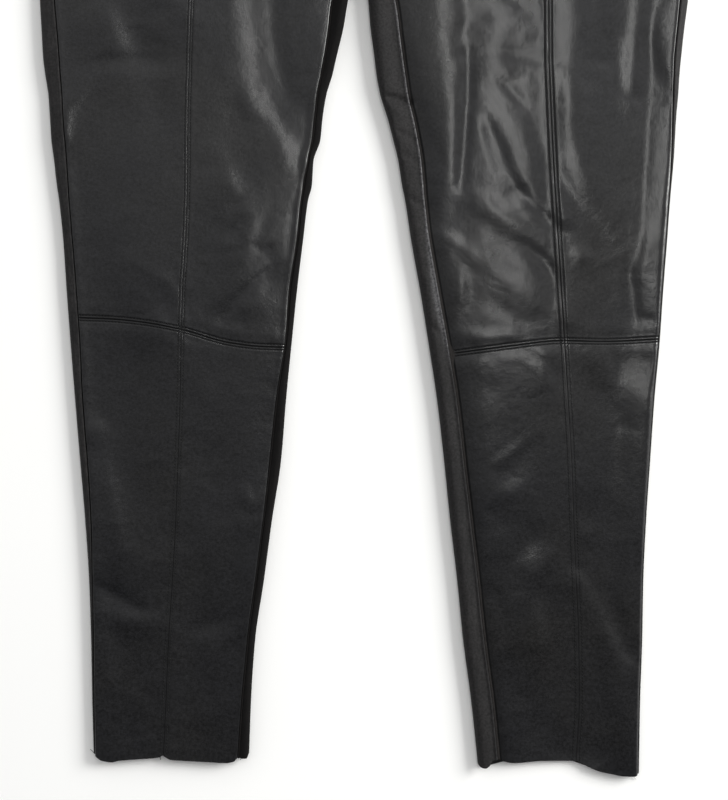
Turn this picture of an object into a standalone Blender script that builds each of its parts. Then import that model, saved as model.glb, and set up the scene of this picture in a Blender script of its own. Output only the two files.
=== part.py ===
"""Skinny trousers with a faux leather front and a stretch knit back, laid flat.

The trousers lie front up on the plane z = 0, hems towards -Y, waist towards +Y.
Left and right are the wearer's, so the wearer's right leg lies at -X.

Each leg is a flattened tube. Its skin is worked out from section tables: the two
side folds, the width of the knit strip that shows on top beside each fold, and
the line of the front seam. The back leg is one piece of knit that lies on the
ground, turns round both side folds and ends at the outseam and the inseam. Four
faux leather panels close the front of each leg: a thigh and a shin, each cut in
two by the front seam. Above the crotch the inner panels meet at the centre.

Lengths in the tables and constants are millimetres; meshes are in metres.
"""
import math

import bpy

MM = 0.001

# ---- driving dimensions ----------------------------------------------------
LEATHER = 1.4            # faux leather bonded to a thin backing
KNIT = 1.6               # heavy stretch knit
SEAM_GAP = 0.3           # between two pieces at a seam

CROTCH = 706.0           # inside leg, hem line to crotch
BAND_LOW = 911.0         # lower edge of the waistband at the side
BAND_TOP = 951.0         # upper edge of the waistband at the side
FRONT_DIP = 8.0          # the front waist drops this much at the centre
BACK_RISE = 21.0         # the back waist rises this much at the centre
CENTRE_AT_CROTCH = -7.0  # x of the centre seams
CENTRE_AT_WAIST = -3.5

OUTER_FOLD = 6.4         # height of the rolled side fold at the outside leg
INNER_FOLD = 7.0         # and at the inside leg
FOLD_REACH = 4.2         # how far a fold's round goes in from its edge
FOLD_RUN = 22.0          # length over which the top settles from fold to middle
REST_HEIGHT = 5.2        # top of the front where two layers and air lie flat
LOWEST_TOP = 3.7         # the front never sinks lower than this

Y_MID = 477.7            # hem-to-waist middle, set to y = 0
X_MID = 0.0

# ---- section tables --------------------------------------------------------
# height above the hem line, x of the outer fold, knit strip beside it on top,
# x of the front seam, knit strip beside the inner fold on top, x of inner fold
SECTION_COLUMNS = ("height", "outer_edge", "outer_strip", "front_seam",
                   "inner_strip", "inner_edge")
RIGHT_SECTIONS = (
    (0.0, -239.5, 0.8, -178.0, 8.8, -103.0),
    (50.0, -241.0, 1.8, -175.8, 7.1, -101.2),
    (103.0, -242.0, 2.4, -173.5, 5.7, -97.6),
    (156.0, -243.8, 3.3, -170.2, 6.4, -89.8),
    (209.0, -247.3, 5.6, -167.2, 6.7, -82.7),
    (261.0, -251.7, 6.8, -165.2, 8.9, -74.8),
    (314.0, -256.1, 7.0, -163.3, 7.6, -70.4),
    (372.0, -260.7, 8.8, -162.2, 4.6, -64.7),
    (411.0, -263.6, 8.9, -161.0, 5.8, -60.7),
    (455.0, -266.6, 8.5, -158.3, 4.4, -55.4),
    (490.0, -270.2, 9.2, -157.0, 5.0, -51.0),
    (503.0, -272.1, 10.3, -156.7, 6.6, -47.7),
    (525.0, -274.6, 11.2, -156.6, 4.0, -46.2),
    (543.0, -277.0, 12.4, -156.6, 6.4, -40.2),
    (561.0, -278.1, 12.2, -156.5, 6.1, -38.4),
    (583.0, -279.6, 12.4, -156.0, 7.4, -34.8),
    (600.0, -282.3, 13.6, -155.5, 9.0, -29.7),
    (618.0, -284.4, 14.5, -155.0, 9.9, -25.5),
    (640.0, -285.6, 14.0, -154.2, 12.0, -20.2),
    (666.0, -287.0, 13.2, -153.1, 13.2, -15.8),
    (706.0, -288.0, 12.4, -151.0, 4.2, -7.2),
    (732.0, -285.2, 12.0, -149.0, 0.0, -7.2),
    (768.0, -275.0, 11.4, -144.5, 0.0, -7.2),
    (812.0, -256.5, 10.6, -137.0, 0.0, -7.2),
    (862.0, -233.5, 9.8, -127.5, 0.0, -7.2),
    (911.0, -213.5, 9.0, -119.0, 0.0, -7.2),
    (951.0, -205.0, 9.0, -115.0, 0.0, -7.2),
)
LEFT_SECTIONS = (
    (0.0, 240.2, 0.7, 185.0, 18.5, 97.7),
    (50.0, 241.1, 0.7, 187.6, 18.9, 92.4),
    (103.0, 242.9, 0.7, 187.1, 18.9, 85.4),
    (156.0, 243.9, 0.7, 184.7, 18.5, 80.1),
    (209.0, 246.4, 0.7, 182.4, 18.5, 73.9),
    (261.0, 249.9, 0.7, 180.4, 17.7, 68.6),
    (314.0, 253.6, 0.9, 177.2, 17.8, 62.5),
    (365.0, 258.3, 1.1, 173.8, 17.4, 54.8),
    (411.0, 261.4, 0.9, 171.0, 16.4, 47.5),
    (455.0, 264.9, 1.0, 168.2, 16.6, 39.6),
    (490.0, 267.5, 1.1, 166.0, 17.7, 34.3),
    (503.0, 268.8, 1.5, 165.2, 19.3, 31.7),
    (525.0, 270.8, 2.5, 163.9, 20.8, 28.2),
    (543.0, 271.9, 3.0, 163.0, 22.4, 23.8),
    (561.0, 272.9, 3.7, 162.1, 23.4, 19.2),
    (583.0, 274.8, 5.2, 161.2, 25.2, 12.4),
    (600.0, 275.9, 5.8, 160.5, 25.9, 9.2),
    (618.0, 277.6, 6.8, 160.1, 25.6, 7.0),
    (640.0, 280.0, 7.0, 159.9, 25.6, 4.1),
    (666.0, 283.4, 7.9, 159.7, 24.2, 1.8),
    (706.0, 288.0, 9.0, 158.0, 4.2, -6.8),
    (732.0, 284.5, 9.4, 154.0, 0.0, -6.8),
    (768.0, 273.0, 9.6, 147.5, 0.0, -6.8),
    (812.0, 253.0, 9.6, 138.0, 0.0, -6.8),
    (862.0, 228.5, 9.4, 126.5, 0.0, -6.8),
    (911.0, 207.5, 9.0, 116.0, 0.0, -6.8),
    (951.0, 199.0, 9.0, 111.0, 0.0, -6.8),
)

# part of the way across the leg from its outer edge, height of the line there
ACROSS_COLUMNS = ("across", "height")
RIGHT_KNEE = ((0.0, 386.5), (0.18, 385.2), (0.32, 382.5), (0.5, 376.0),
              (0.72, 364.2), (0.85, 361.0), (1.0, 360.0))
LEFT_KNEE = ((0.0, 367.6), (0.25, 365.4), (0.43, 366.0), (0.64, 361.6),
             (0.8, 357.4), (1.0, 352.0))
RIGHT_HEM = ((0.0, 3.0), (0.06, -2.8), (0.15, -3.2), (0.42, -0.2),
             (0.52, -2.4), (0.85, -4.6), (0.93, -0.6), (1.0, 2.4))
LEFT_HEM = ((0.0, -14.8), (0.05, -16.6), (0.14, -15.8), (0.24, -12.6),
            (0.34, -7.4), (0.42, -4.0), (0.6, -3.4), (0.8, -4.6),
            (0.88, -2.6), (0.95, -7.6), (1.0, -6.0))
KNEE_FADE = 110.0        # the rows straighten over this length from the knee
HEM_FADE = 75.0          # and over this one from the hem

# the largest folds of the front: a soft ridge (rise > 0) or trough (rise < 0)
# that runs from one point to the other, with its half width
FOLD_COLUMNS = ("x_from", "height_from", "x_to", "height_to", "rise", "half_width")
FOLDS = (
    # wearer's right leg
    (-105.0, 700.0, -62.0, 515.0, 1.5, 15.0),    # long ridge inside the thigh
    (-52.0, 660.0, -50.0, 570.0, -1.1, 13.0),    # hollow between it and inseam
    (-216.0, 655.0, -212.0, 615.0, 1.2, 17.0),   # soft swell by the outseam
    (-236.0, 610.0, -190.0, 606.0, -0.9, 10.0),  # cross crease high on the thigh
    (-118.0, 480.0, -108.0, 455.0, -1.0, 13.0),  # dent above the knee
    (-127.0, 398.0, -92.0, 424.0, -1.0, 12.0),   # diagonal above the knee seam
    (-222.0, 262.0, -215.0, 190.0, 0.9, 16.0),   # swell down the shin
    (-240.0, 152.0, -182.0, 130.0, -1.1, 11.0),  # crease above the ankle
    (-205.0, 122.0, -185.0, 118.0, 0.8, 12.0),   # and the swell under it
    # wearer's left leg
    (72.0, 690.0, 70.0, 505.0, 1.3, 12.0),       # ridge beside the inseam
    (118.0, 655.0, 130.0, 630.0, 1.2, 20.0),     # round bulge at the top
    (104.0, 574.0, 157.0, 466.0, -1.4, 11.0),    # first diagonal
    (106.0, 552.0, 122.0, 505.0, 1.4, 13.0),     # swell between the diagonals
    (92.0, 496.0, 158.0, 442.0, -1.3, 11.0),     # second diagonal
    (112.0, 440.0, 124.0, 432.0, 1.4, 15.0),     # swell under it
    (74.0, 453.0, 140.0, 390.0, -1.2, 11.0),     # third diagonal
    (178.0, 540.0, 228.0, 456.0, 1.1, 14.0),     # ridge across the outer panel
    (232.0, 680.0, 226.0, 585.0, 1.2, 14.0),     # ridge beside the outseam
    (225.0, 572.0, 262.0, 578.0, -0.9, 11.0),    # its lower end
    (240.0, 430.0, 240.0, 330.0, 0.9, 14.0),     # swell past the knee seam
    (192.0, 168.0, 236.0, 84.0, 1.1, 12.0),      # fold down the lower shin
    # above the photo, of the same kind
    (-30.0, 735.0, -120.0, 765.0, -1.2, 13.0),   # whisker from the crotch
    (18.0, 738.0, 112.0, 772.0, -1.2, 13.0),
    (-36.0, 770.0, -110.0, 806.0, 1.1, 14.0),
    (20.0, 775.0, 104.0, 815.0, 1.1, 14.0),
)

# ---- looks of the cloths ---------------------------------------------------
# name, colour (linear), roughness
LEATHER_LOOK = ("faux_leather_black", (0.026, 0.026, 0.028, 1.0), 0.42)
KNIT_LOOK = ("stretch_knit_black", (0.022, 0.020, 0.021, 1.0), 0.95)

PANEL_COLUMNS = 7        # quads across one front panel
BOTTOM_COLUMNS = 2       # across the flat underside of a leg
ARC_COLUMNS = 2          # down the lower half of a side fold
WRAP_COLUMNS = 3         # from a side fold up to its seam
ROW_LIMIT = 31.0         # a longer step between two sections gets a row inside


# ---- smooth reading of the tables ------------------------------------------
def column(table, names, name):
    k = names.index(name)
    return [row[0] for row in table], [row[k] for row in table]


class Curve:
    """A smooth line through a table's points that adds no bump of its own."""

    def __init__(self, xs, ys):
        self.xs, self.ys = xs, ys
        n = len(xs)
        steps = [xs[i + 1] - xs[i] for i in range(n - 1)]
        rates = [(ys[i + 1] - ys[i]) / steps[i] for i in range(n - 1)]
        slopes = [rates[0]] + [0.0] * (n - 2) + [rates[-1]]
        for i in range(1, n - 1):
            if rates[i - 1] * rates[i] > 0.0:
                w0 = 2 * steps[i] + steps[i - 1]
                w1 = steps[i] + 2 * steps[i - 1]
                slopes[i] = (w0 + w1) / (w0 / rates[i - 1] + w1 / rates[i])
        self.slopes = slopes

    def __call__(self, x):
        xs, ys, m = self.xs, self.ys, self.slopes
        if x <= xs[0]:
            return ys[0] + m[0] * max(x - xs[0], -20.0)
        if x >= xs[-1]:
            return ys[-1]
        i = 0
        while x > xs[i + 1]:
            i += 1
        h = xs[i + 1] - xs[i]
        t = (x - xs[i]) / h
        return ((1 + 2 * t) * (1 - t) ** 2 * ys[i] + t * (1 - t) ** 2 * h * m[i]
                + t * t * (3 - 2 * t) * ys[i + 1] + t * t * (t - 1) * h * m[i + 1])


def ease(t):
    t = min(max(t, 0.0), 1.0)
    return t * t * (3 - 2 * t)


def centre(y):
    t = min(max((y - CROTCH) / (BAND_TOP - CROTCH), 0.0), 1.0)
    return CENTRE_AT_CROTCH + (CENTRE_AT_WAIST - CENTRE_AT_CROTCH) * t


def relief(x, y):
    """Height that the folds add to the front at one place."""
    total = 0.0
    for x0, y0, x1, y1, rise, half in FOLDS:
        dx, dy = x1 - x0, y1 - y0
        t = ((x - x0) * dx + (y - y0) * dy) / (dx * dx + dy * dy)
        t = min(max(t, 0.0), 1.0)
        gap = math.hypot(x - x0 - t * dx, y - y0 - t * dy)
        total += rise * math.exp(-(gap / half) ** 2)
    return total


class Leg:
    """One leg and its half of the seat, read from its tables."""

    def __init__(self, side, sections, knee, hem):
        self.side = side                      # -1 for the right, +1 for the left
        for name in SECTION_COLUMNS[1:]:
            setattr(self, name, Curve(*column(sections, SECTION_COLUMNS, name)))
        self.knee = Curve(*column(knee, ACROSS_COLUMNS, "height"))
        self.hem = Curve(*column(hem, ACROSS_COLUMNS, "height"))
        self.heights = [row[0] for row in sections]
        self.knee_height = self.heights[7]

    def inner(self, y):
        if y > CROTCH:
            near = centre(y) + self.side * SEAM_GAP / 2
            t = min((y - CROTCH) / 6.0, 1.0)
            return self.inner_edge(CROTCH) * (1 - t) + near * t
        return self.inner_edge(y)

    def width(self, y):
        return abs(self.inner(y) - self.outer_edge(y))

    def inner_reach(self, y):
        """The inside fold ends at the crotch."""
        return FOLD_REACH * (1.0 - min(max((y - CROTCH) / 6.0, 0.0), 1.0))

    def x(self, d, y):
        """x at a distance d inwards from the outer edge."""
        return self.outer_edge(y) - self.side * d

    def plateau(self, d, y):
        """Height of the top away from the round of the folds."""
        w, x = self.width(y), self.x(d, y)
        rise = (OUTER_FOLD - REST_HEIGHT) * (1 - ease((d - FOLD_REACH) / FOLD_RUN))
        inside = 1.0 - ease((y - (CROTCH - 20.0)) / 45.0)
        rise += ((INNER_FOLD - REST_HEIGHT) * inside
                 * (1 - ease((w - d - FOLD_REACH) / FOLD_RUN)))
        near = min(d, w - d if y < CROTCH else 1e9)
        folds = relief(x, y) * ease((near - 1.0) / 9.0)
        top = REST_HEIGHT + rise + folds
        return LOWEST_TOP + max(top - LOWEST_TOP, 0.0)

    def top(self, d, y):
        """Point of the outer skin on top, and its outward normal."""
        w, reach = self.width(y), self.inner_reach(y)
        if d < FOLD_REACH:
            return self.round(0, math.acos(1 - max(d, 0.0) / FOLD_REACH), y)
        if w - d < reach:
            return self.round(1, math.acos(1 - max(w - d, 0.0) / reach), y)
        z = self.plateau(d, y)
        slope = (self.plateau(d + 0.5, y) - self.plateau(d - 0.5, y))
        size = math.hypot(slope, 1.0)
        return (self.x(d, y), z, self.side * slope / size, 1.0 / size)

    def round(self, inside, turn, y):
        """Point on a side fold; turn is 0 at its edge, pi/2 on top."""
        reach = self.inner_reach(y) if inside else FOLD_REACH
        middle = (INNER_FOLD if inside else OUTER_FOLD) / 2
        out = -self.side if inside else self.side
        edge = self.inner(y) if inside else self.outer_edge(y)
        w = self.width(y)
        up = middle
        if turn > 0:
            up = self.plateau(w - reach if inside else FOLD_REACH, y) - middle
        nx, nz = math.cos(turn) / reach, math.sin(turn) / up
        size = math.hypot(nx, nz)
        return (edge - out * reach * (1 - math.cos(turn)),
                middle + up * math.sin(turn), out * nx / size, nz / size)

    def wrapped(self, inside, part, strip, y):
        """Point part of the way from a side fold's edge to its seam."""
        reach = self.inner_reach(y) if inside else FOLD_REACH
        edge = strip - SEAM_GAP / 2
        quarter = reach * math.pi / 2
        if edge < reach:
            whole = quarter * math.acos(1 - edge / reach) / (math.pi / 2)
        else:
            whole = quarter + edge - reach
        p = whole * part
        if p < quarter:
            return self.round(inside, p / quarter * math.pi / 2, y)
        d = reach + p - quarter
        return self.top(self.width(y) - d if inside else d, y)

    def shift(self, row, x, layer):
        """How far the cloth at a row lies from that row's own height."""
        k = self.knee_height
        w = self.width(k)
        across = min(max(abs(x - self.outer_edge(k)) / w, 0.0), 1.0)
        away = (self.knee(across) - k) * (1 - ease(abs(row - k) / KNEE_FADE))
        w = self.width(0.0)
        across = min(max(abs(x - self.outer_edge(0.0)) / w, 0.0), 1.0)
        away += self.hem(across) * (1 - ease(row / HEM_FADE))
        return away + waist_shift(row, x, layer)

    def place(self, row, layer, read):
        """Find the point of a row: read(y) gives its x, z and normal."""
        y = row
        for _ in range(4):
            point = read(y)
            y = row + self.shift(row, point[0], layer)
        point = read(y)
        return point[0], y, point[1], point[2], point[3]


def waist_shift(row, x, layer):
    """Front waist dips and back waist rises towards the centre."""
    half = (RIGHT.outer_edge(BAND_LOW) - LEFT.outer_edge(BAND_LOW)) / -2 - 14.0
    off = min(abs(x - centre(row)) / half, 1.0)
    grow = ease((row - 770.0) / (BAND_LOW - 770.0))
    most = BACK_RISE if layer == "under" else -FRONT_DIP
    return most * grow * (1 - off * off)


RIGHT = Leg(-1, RIGHT_SECTIONS, RIGHT_KNEE, RIGHT_HEM)
LEFT = Leg(1, LEFT_SECTIONS, LEFT_KNEE, LEFT_HEM)


def rows_between(leg, low, high):
    """Rows at the sections, with one more in each long step."""
    marks = [low] + [h for h in leg.heights if low < h < high] + [high]
    if low < CROTCH < high:
        marks.insert(marks.index(CROTCH) + 1, CROTCH + 6.0)
    rows = [marks[0]]
    for a, b in zip(marks, marks[1:]):
        if b - a > ROW_LIMIT:
            rows.append((a + b) / 2)
        rows.append(b)
    return rows


# ---- cloth pieces ----------------------------------------------------------
def cloth(name, grid, wall, look, missing=()):
    """Closed wall of cloth under a grid of skin points with normals.

    grid rows hold (x, y, z, nx, nz); missing holds cells (row, column) that the
    piece does not have.
    """
    nr, nc = len(grid), len(grid[0])
    cells = [(r, c) for r in range(nr - 1) for c in range(nc - 1)
             if (r, c) not in missing]
    used = sorted({(r + i, c + j) for r, c in cells for i in (0, 1) for j in (0, 1)})
    number = {rc: k for k, rc in enumerate(used)}
    count = len(used)
    verts = []
    for r, c in used:
        x, y, z, nx, nz = grid[r][c]
        verts.append(((x - X_MID) * MM, (y - Y_MID) * MM, z * MM))
    for r, c in used:
        x, y, z, nx, nz = grid[r][c]
        verts.append(((x - wall * nx - X_MID) * MM, (y - Y_MID) * MM,
                      (z - wall * nz) * MM))
    faces, edges = [], {}
    for r, c in cells:
        ring = [number[(r, c)], number[(r, c + 1)],
                number[(r + 1, c + 1)], number[(r + 1, c)]]
        for tri in ((ring[0], ring[1], ring[2]), (ring[0], ring[2], ring[3])):
            faces.append(tri)
            faces.append(tuple(v + count for v in reversed(tri)))
        for a, b in zip(ring, ring[1:] + ring[:1]):
            if (b, a) in edges:
                del edges[(b, a)]
            else:
                edges[(a, b)] = True
    for a, b in edges:
        faces.append((b, a, a + count))
        faces.append((b, a + count, b + count))
    mesh = bpy.data.meshes.new(name)
    mesh.from_pydata(verts, [], faces)
    mesh.update()
    volume = sum(
        mesh.vertices[p.vertices[0]].co.dot(
            mesh.vertices[p.vertices[1]].co.cross(mesh.vertices[p.vertices[2]].co))
        for p in mesh.polygons)
    if volume < 0:
        mesh.flip_normals()
    mesh.shade_smooth()
    mesh.set_sharp_from_angle(angle=math.radians(40))
    mesh.materials.append(material(look))
    piece = bpy.data.objects.new(name, mesh)
    bpy.context.scene.collection.objects.link(piece)
    piece.parent = trousers
    return piece


def material(look):
    name, colour, roughness = look
    made = bpy.data.materials.get(name)
    if made is None:
        made = bpy.data.materials.new(name)
        made.use_nodes = True
        shader = made.node_tree.nodes["Principled BSDF"]
        shader.inputs["Base Color"].default_value = colour
        shader.inputs["Roughness"].default_value = roughness
        shader.inputs["Metallic"].default_value = 0.0
    return made


def front_panel(name, leg, part, low, high, trim_low, trim_high):
    """A front panel between the front seam and the outseam or inseam."""
    half = SEAM_GAP / 2

    def reader(q):
        def read(y):
            seam = abs(leg.front_seam(y) - leg.outer_edge(y))
            if part == "outer":
                a = leg.outer_strip(y) + half
                b = seam - half
                d = a + (b - a) * q ** 1.45
            else:
                strip = leg.inner_strip(y) if y <= CROTCH else leg.inner_reach(y)
                a = seam + half
                b = leg.width(y) - max(strip, 0.0) - (half if y <= CROTCH else 0.0)
                d = b - (b - a) * (1 - q) ** 1.45
            return leg.top(d, y)
        return read

    rows = rows_between(leg, low, high)
    rows[0] += trim_low
    rows[-1] -= trim_high
    columns = [c / PANEL_COLUMNS for c in range(PANEL_COLUMNS + 1)]
    grid = [[leg.place(row, "top", reader(q)) for q in columns] for row in rows]
    return cloth(name, grid, LEATHER, LEATHER_LOOK)


def wrap_parts():
    return [(k / WRAP_COLUMNS) ** 1.5 for k in range(WRAP_COLUMNS + 1)]


def back_leg(name, leg):
    """Knit from the outseam round under the leg and up to the inseam."""
    rows = rows_between(leg, 0.0, BAND_LOW)
    rows[-1] -= SEAM_GAP / 2
    grid, missing = [], set()
    for r, row in enumerate(rows):
        line = []

        def add(layer, read):
            line.append(leg.place(row, layer, read))

        for part in reversed(wrap_parts()):
            add("top", lambda y: leg.wrapped(0, part, leg.outer_strip(y), y))
        for k in range(1, ARC_COLUMNS + 1):
            add("under", lambda y: leg.round(0, -math.pi / 2 * k / ARC_COLUMNS, y))
        for k in range(1, BOTTOM_COLUMNS + 1):
            q = k / BOTTOM_COLUMNS

            def flat(y):
                a, b = FOLD_REACH, leg.width(y) - leg.inner_reach(y)
                return leg.x(a + (b - a) * q, y), 0.0, 0.0, -1.0
            add("under", flat)
        first = len(line) - 1
        if row <= CROTCH:
            for k in range(ARC_COLUMNS - 1, -1, -1):
                add("under",
                    lambda y: leg.round(1, -math.pi / 2 * k / ARC_COLUMNS, y))
            for part in wrap_parts()[1:]:
                add("top", lambda y: leg.wrapped(1, part, leg.inner_strip(y), y))
            full = len(line)
        else:
            line += [line[-1]] * (full - len(line))
            missing |= {(r - 1, c) for c in range(first, full - 1)}
        grid.append(line)
    return cloth(name, grid, KNIT, KNIT_LOOK, missing)


def waist_skin(x, y):
    leg = RIGHT if x < centre(y) else LEFT
    return leg.top(abs(x - leg.outer_edge(y)), y)


def waistband_front(name):
    low, high = BAND_LOW + SEAM_GAP / 2, BAND_TOP
    rows = [low, (low + high) / 2, high]
    grid = []
    for row in rows:
        line = []
        for k in range(13):
            q = k / 12

            def read(y):
                a = RIGHT.x(RIGHT.outer_strip(y) + SEAM_GAP / 2, y)
                b = LEFT.x(LEFT.outer_strip(y) + SEAM_GAP / 2, y)
                return waist_skin(a + (b - a) * q, y)
            line.append(RIGHT.place(row, "top", read))
        grid.append(line)
    return cloth(name, grid, LEATHER, LEATHER_LOOK)


def waistband_back(name):
    low, high = BAND_LOW + SEAM_GAP / 2, BAND_TOP
    rows = [low, (low + high) / 2, high]
    grid = []
    for row in rows:
        line = []
        for leg, order in ((RIGHT, 1), (LEFT, -1)):
            side = []
            for part in reversed(wrap_parts()):
                side.append(leg.place(row, "top", lambda y: leg.wrapped(
                    0, part, leg.outer_strip(y), y)))
            for k in range(1, ARC_COLUMNS + 1):
                side.append(leg.place(row, "under", lambda y: leg.round(
                    0, -math.pi / 2 * k / ARC_COLUMNS, y)))
            if order == 1:
                line += side
                for k in range(1, 8):
                    def read(y):
                        a, b = RIGHT.x(FOLD_REACH, y), LEFT.x(FOLD_REACH, y)
                        return a + (b - a) * k / 8, 0.0, 0.0, -1.0
                    line.append(RIGHT.place(row, "under", read))
            else:
                line += side[::-1]
        grid.append(line)
    return cloth(name, grid, KNIT, KNIT_LOOK)


# ---- assembly --------------------------------------------------------------
for old in list(bpy.data.objects):
    bpy.data.objects.remove(old, do_unlink=True)

trousers = bpy.data.objects.new("trousers", None)
bpy.context.scene.collection.objects.link(trousers)

for side_name, leg in (("right", RIGHT), ("left", LEFT)):
    knee = leg.knee_height
    for part in ("outer", "inner"):
        front_panel(f"front_shin_{part}_{side_name}", leg, part,
                    0.0, knee, 0.0, SEAM_GAP / 2)
        front_panel(f"front_thigh_{part}_{side_name}", leg, part,
                    knee, BAND_LOW, SEAM_GAP / 2, SEAM_GAP / 2)
    back_leg(f"back_leg_{side_name}", leg)
waistband_front("waistband_front")
waistband_back("waistband_back")
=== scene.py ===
"""Looks of the faux leather skinny trousers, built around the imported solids.

Every cloth piece is a thin shell on its solid's own form, worked out from the
same section tables as the solids, with finer rows and columns, soft creases,
seam ditches and welts, raw hems and stitches. Lengths are millimetres
until a mesh is made. Places marked px are read off the 728 x 800 photograph.
"""
import math

import bpy
import numpy as np
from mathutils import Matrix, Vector


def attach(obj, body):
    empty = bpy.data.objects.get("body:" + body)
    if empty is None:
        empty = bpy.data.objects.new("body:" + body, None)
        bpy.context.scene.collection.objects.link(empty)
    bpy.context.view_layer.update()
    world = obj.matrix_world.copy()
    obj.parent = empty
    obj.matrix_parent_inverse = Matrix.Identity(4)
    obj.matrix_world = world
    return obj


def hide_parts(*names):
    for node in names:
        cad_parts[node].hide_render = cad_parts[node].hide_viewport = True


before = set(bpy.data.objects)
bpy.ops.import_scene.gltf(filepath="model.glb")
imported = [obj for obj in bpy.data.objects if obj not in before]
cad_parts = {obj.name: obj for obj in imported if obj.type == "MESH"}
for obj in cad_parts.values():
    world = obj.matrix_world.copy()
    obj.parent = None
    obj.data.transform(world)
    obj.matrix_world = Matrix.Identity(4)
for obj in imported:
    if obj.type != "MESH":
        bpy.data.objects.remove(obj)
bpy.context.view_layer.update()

MM = 0.001

# ---- sizes shared with the solids ------------------------------------------
LEATHER = 1.4
KNIT = 1.6
CROTCH = 706.0
BAND_LOW = 911.0
BAND_TOP = 951.0
FRONT_DIP = 8.0
BACK_RISE = 21.0
CENTRE_AT_CROTCH = -7.0
CENTRE_AT_WAIST = -3.5
REST_HEIGHT = 5.9        # the solids' 5.2 plus the soft stand of the cloth
LOWEST_TOP = 3.9
CROWN = 2.6              # how much higher the middle of a leg stands
Y_MID = 477.7
X_MID = 0.0

# ---- where the photo lies on the garment -----------------------------------
MM_PER_PX = 0.88
PX_CENTRE = 366.0        # photo column of x = 0
PX_HEM = 757.0           # photo row of the hem line


def from_px(px, py):
    """Garment x and height above the hem line of a place in the photo."""
    return (px - PX_CENTRE) * MM_PER_PX, (PX_HEM - py) * MM_PER_PX


# ---- section tables, the same as the solids' --------------------------------
# height above the hem line, x of the outer fold, knit strip beside it on top,
# x of the front seam, knit strip beside the inner fold on top, x of inner fold
SECTION_COLUMNS = ("height", "outer_edge", "outer_strip", "front_seam",
                   "inner_strip", "inner_edge")
RIGHT_SECTIONS = (
    (0.0, -239.5, 0.8, -178.0, 8.8, -103.0),
    (50.0, -241.0, 1.8, -175.8, 7.1, -101.2),
    (103.0, -242.0, 2.4, -173.5, 5.7, -97.6),
    (156.0, -243.8, 3.3, -170.2, 6.4, -89.8),
    (209.0, -247.3, 5.6, -167.2, 6.7, -82.7),
    (261.0, -251.7, 6.8, -165.2, 8.9, -74.8),
    (314.0, -256.1, 7.0, -163.3, 7.6, -70.4),
    (372.0, -260.7, 8.8, -162.2, 4.6, -64.7),
    (411.0, -263.6, 8.9, -161.0, 5.8, -60.7),
    (455.0, -266.6, 8.5, -158.3, 4.4, -55.4),
    (490.0, -270.2, 9.2, -157.0, 5.0, -51.0),
    (503.0, -272.1, 10.3, -156.7, 6.6, -47.7),
    (525.0, -274.6, 11.2, -156.6, 4.0, -46.2),
    (543.0, -277.0, 12.4, -156.6, 6.4, -40.2),
    (561.0, -278.1, 12.2, -156.5, 6.1, -38.4),
    (583.0, -279.6, 12.4, -156.0, 7.4, -34.8),
    (600.0, -282.3, 13.6, -155.5, 9.0, -29.7),
    (618.0, -284.4, 14.5, -155.0, 9.9, -25.5),
    (640.0, -285.6, 14.0, -154.2, 12.0, -20.2),
    (666.0, -287.0, 13.2, -153.1, 13.2, -15.8),
    (706.0, -288.0, 12.4, -151.0, 4.2, -7.2),
    (732.0, -285.2, 12.0, -149.0, 0.0, -7.2),
    (768.0, -275.0, 11.4, -144.5, 0.0, -7.2),
    (812.0, -256.5, 10.6, -137.0, 0.0, -7.2),
    (862.0, -233.5, 9.8, -127.5, 0.0, -7.2),
    (911.0, -213.5, 9.0, -119.0, 0.0, -7.2),
    (951.0, -205.0, 9.0, -115.0, 0.0, -7.2),
)
LEFT_SECTIONS = (
    (0.0, 240.2, 0.7, 185.0, 18.5, 97.7),
    (50.0, 241.1, 0.7, 187.6, 18.9, 92.4),
    (103.0, 242.9, 0.7, 187.1, 18.9, 85.4),
    (156.0, 243.9, 0.7, 184.7, 18.5, 80.1),
    (209.0, 246.4, 0.7, 182.4, 18.5, 73.9),
    (261.0, 249.9, 0.7, 180.4, 17.7, 68.6),
    (314.0, 253.6, 0.9, 177.2, 17.8, 62.5),
    (365.0, 258.3, 1.1, 173.8, 17.4, 54.8),
    (411.0, 261.4, 0.9, 171.0, 16.4, 47.5),
    (455.0, 264.9, 1.0, 168.2, 16.6, 39.6),
    (490.0, 267.5, 1.1, 166.0, 17.7, 34.3),
    (503.0, 268.8, 1.5, 165.2, 19.3, 31.7),
    (525.0, 270.8, 2.5, 163.9, 20.8, 28.2),
    (543.0, 271.9, 3.0, 163.0, 22.4, 23.8),
    (561.0, 272.9, 3.7, 162.1, 23.4, 19.2),
    (583.0, 274.8, 5.2, 161.2, 25.2, 12.4),
    (600.0, 275.9, 5.8, 160.5, 25.9, 9.2),
    (618.0, 277.6, 6.8, 160.1, 25.6, 7.0),
    (640.0, 280.0, 7.0, 159.9, 25.6, 4.1),
    (666.0, 283.4, 7.9, 159.7, 24.2, 1.8),
    (706.0, 288.0, 9.0, 158.0, 4.2, -6.8),
    (732.0, 284.5, 9.4, 154.0, 0.0, -6.8),
    (768.0, 273.0, 9.6, 147.5, 0.0, -6.8),
    (812.0, 253.0, 9.6, 138.0, 0.0, -6.8),
    (862.0, 228.5, 9.4, 126.5, 0.0, -6.8),
    (911.0, 207.5, 9.0, 116.0, 0.0, -6.8),
    (951.0, 199.0, 9.0, 111.0, 0.0, -6.8),
)

# part of the way across the leg from its outer edge, height of the line there
ACROSS_COLUMNS = ("across", "height")
RIGHT_KNEE = ((0.0, 386.5), (0.18, 385.2), (0.32, 382.5), (0.5, 376.0),
              (0.72, 364.2), (0.85, 361.0), (1.0, 360.0))
LEFT_KNEE = ((0.0, 367.6), (0.25, 365.4), (0.43, 366.0), (0.64, 361.6),
             (0.8, 357.4), (1.0, 352.0))

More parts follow.
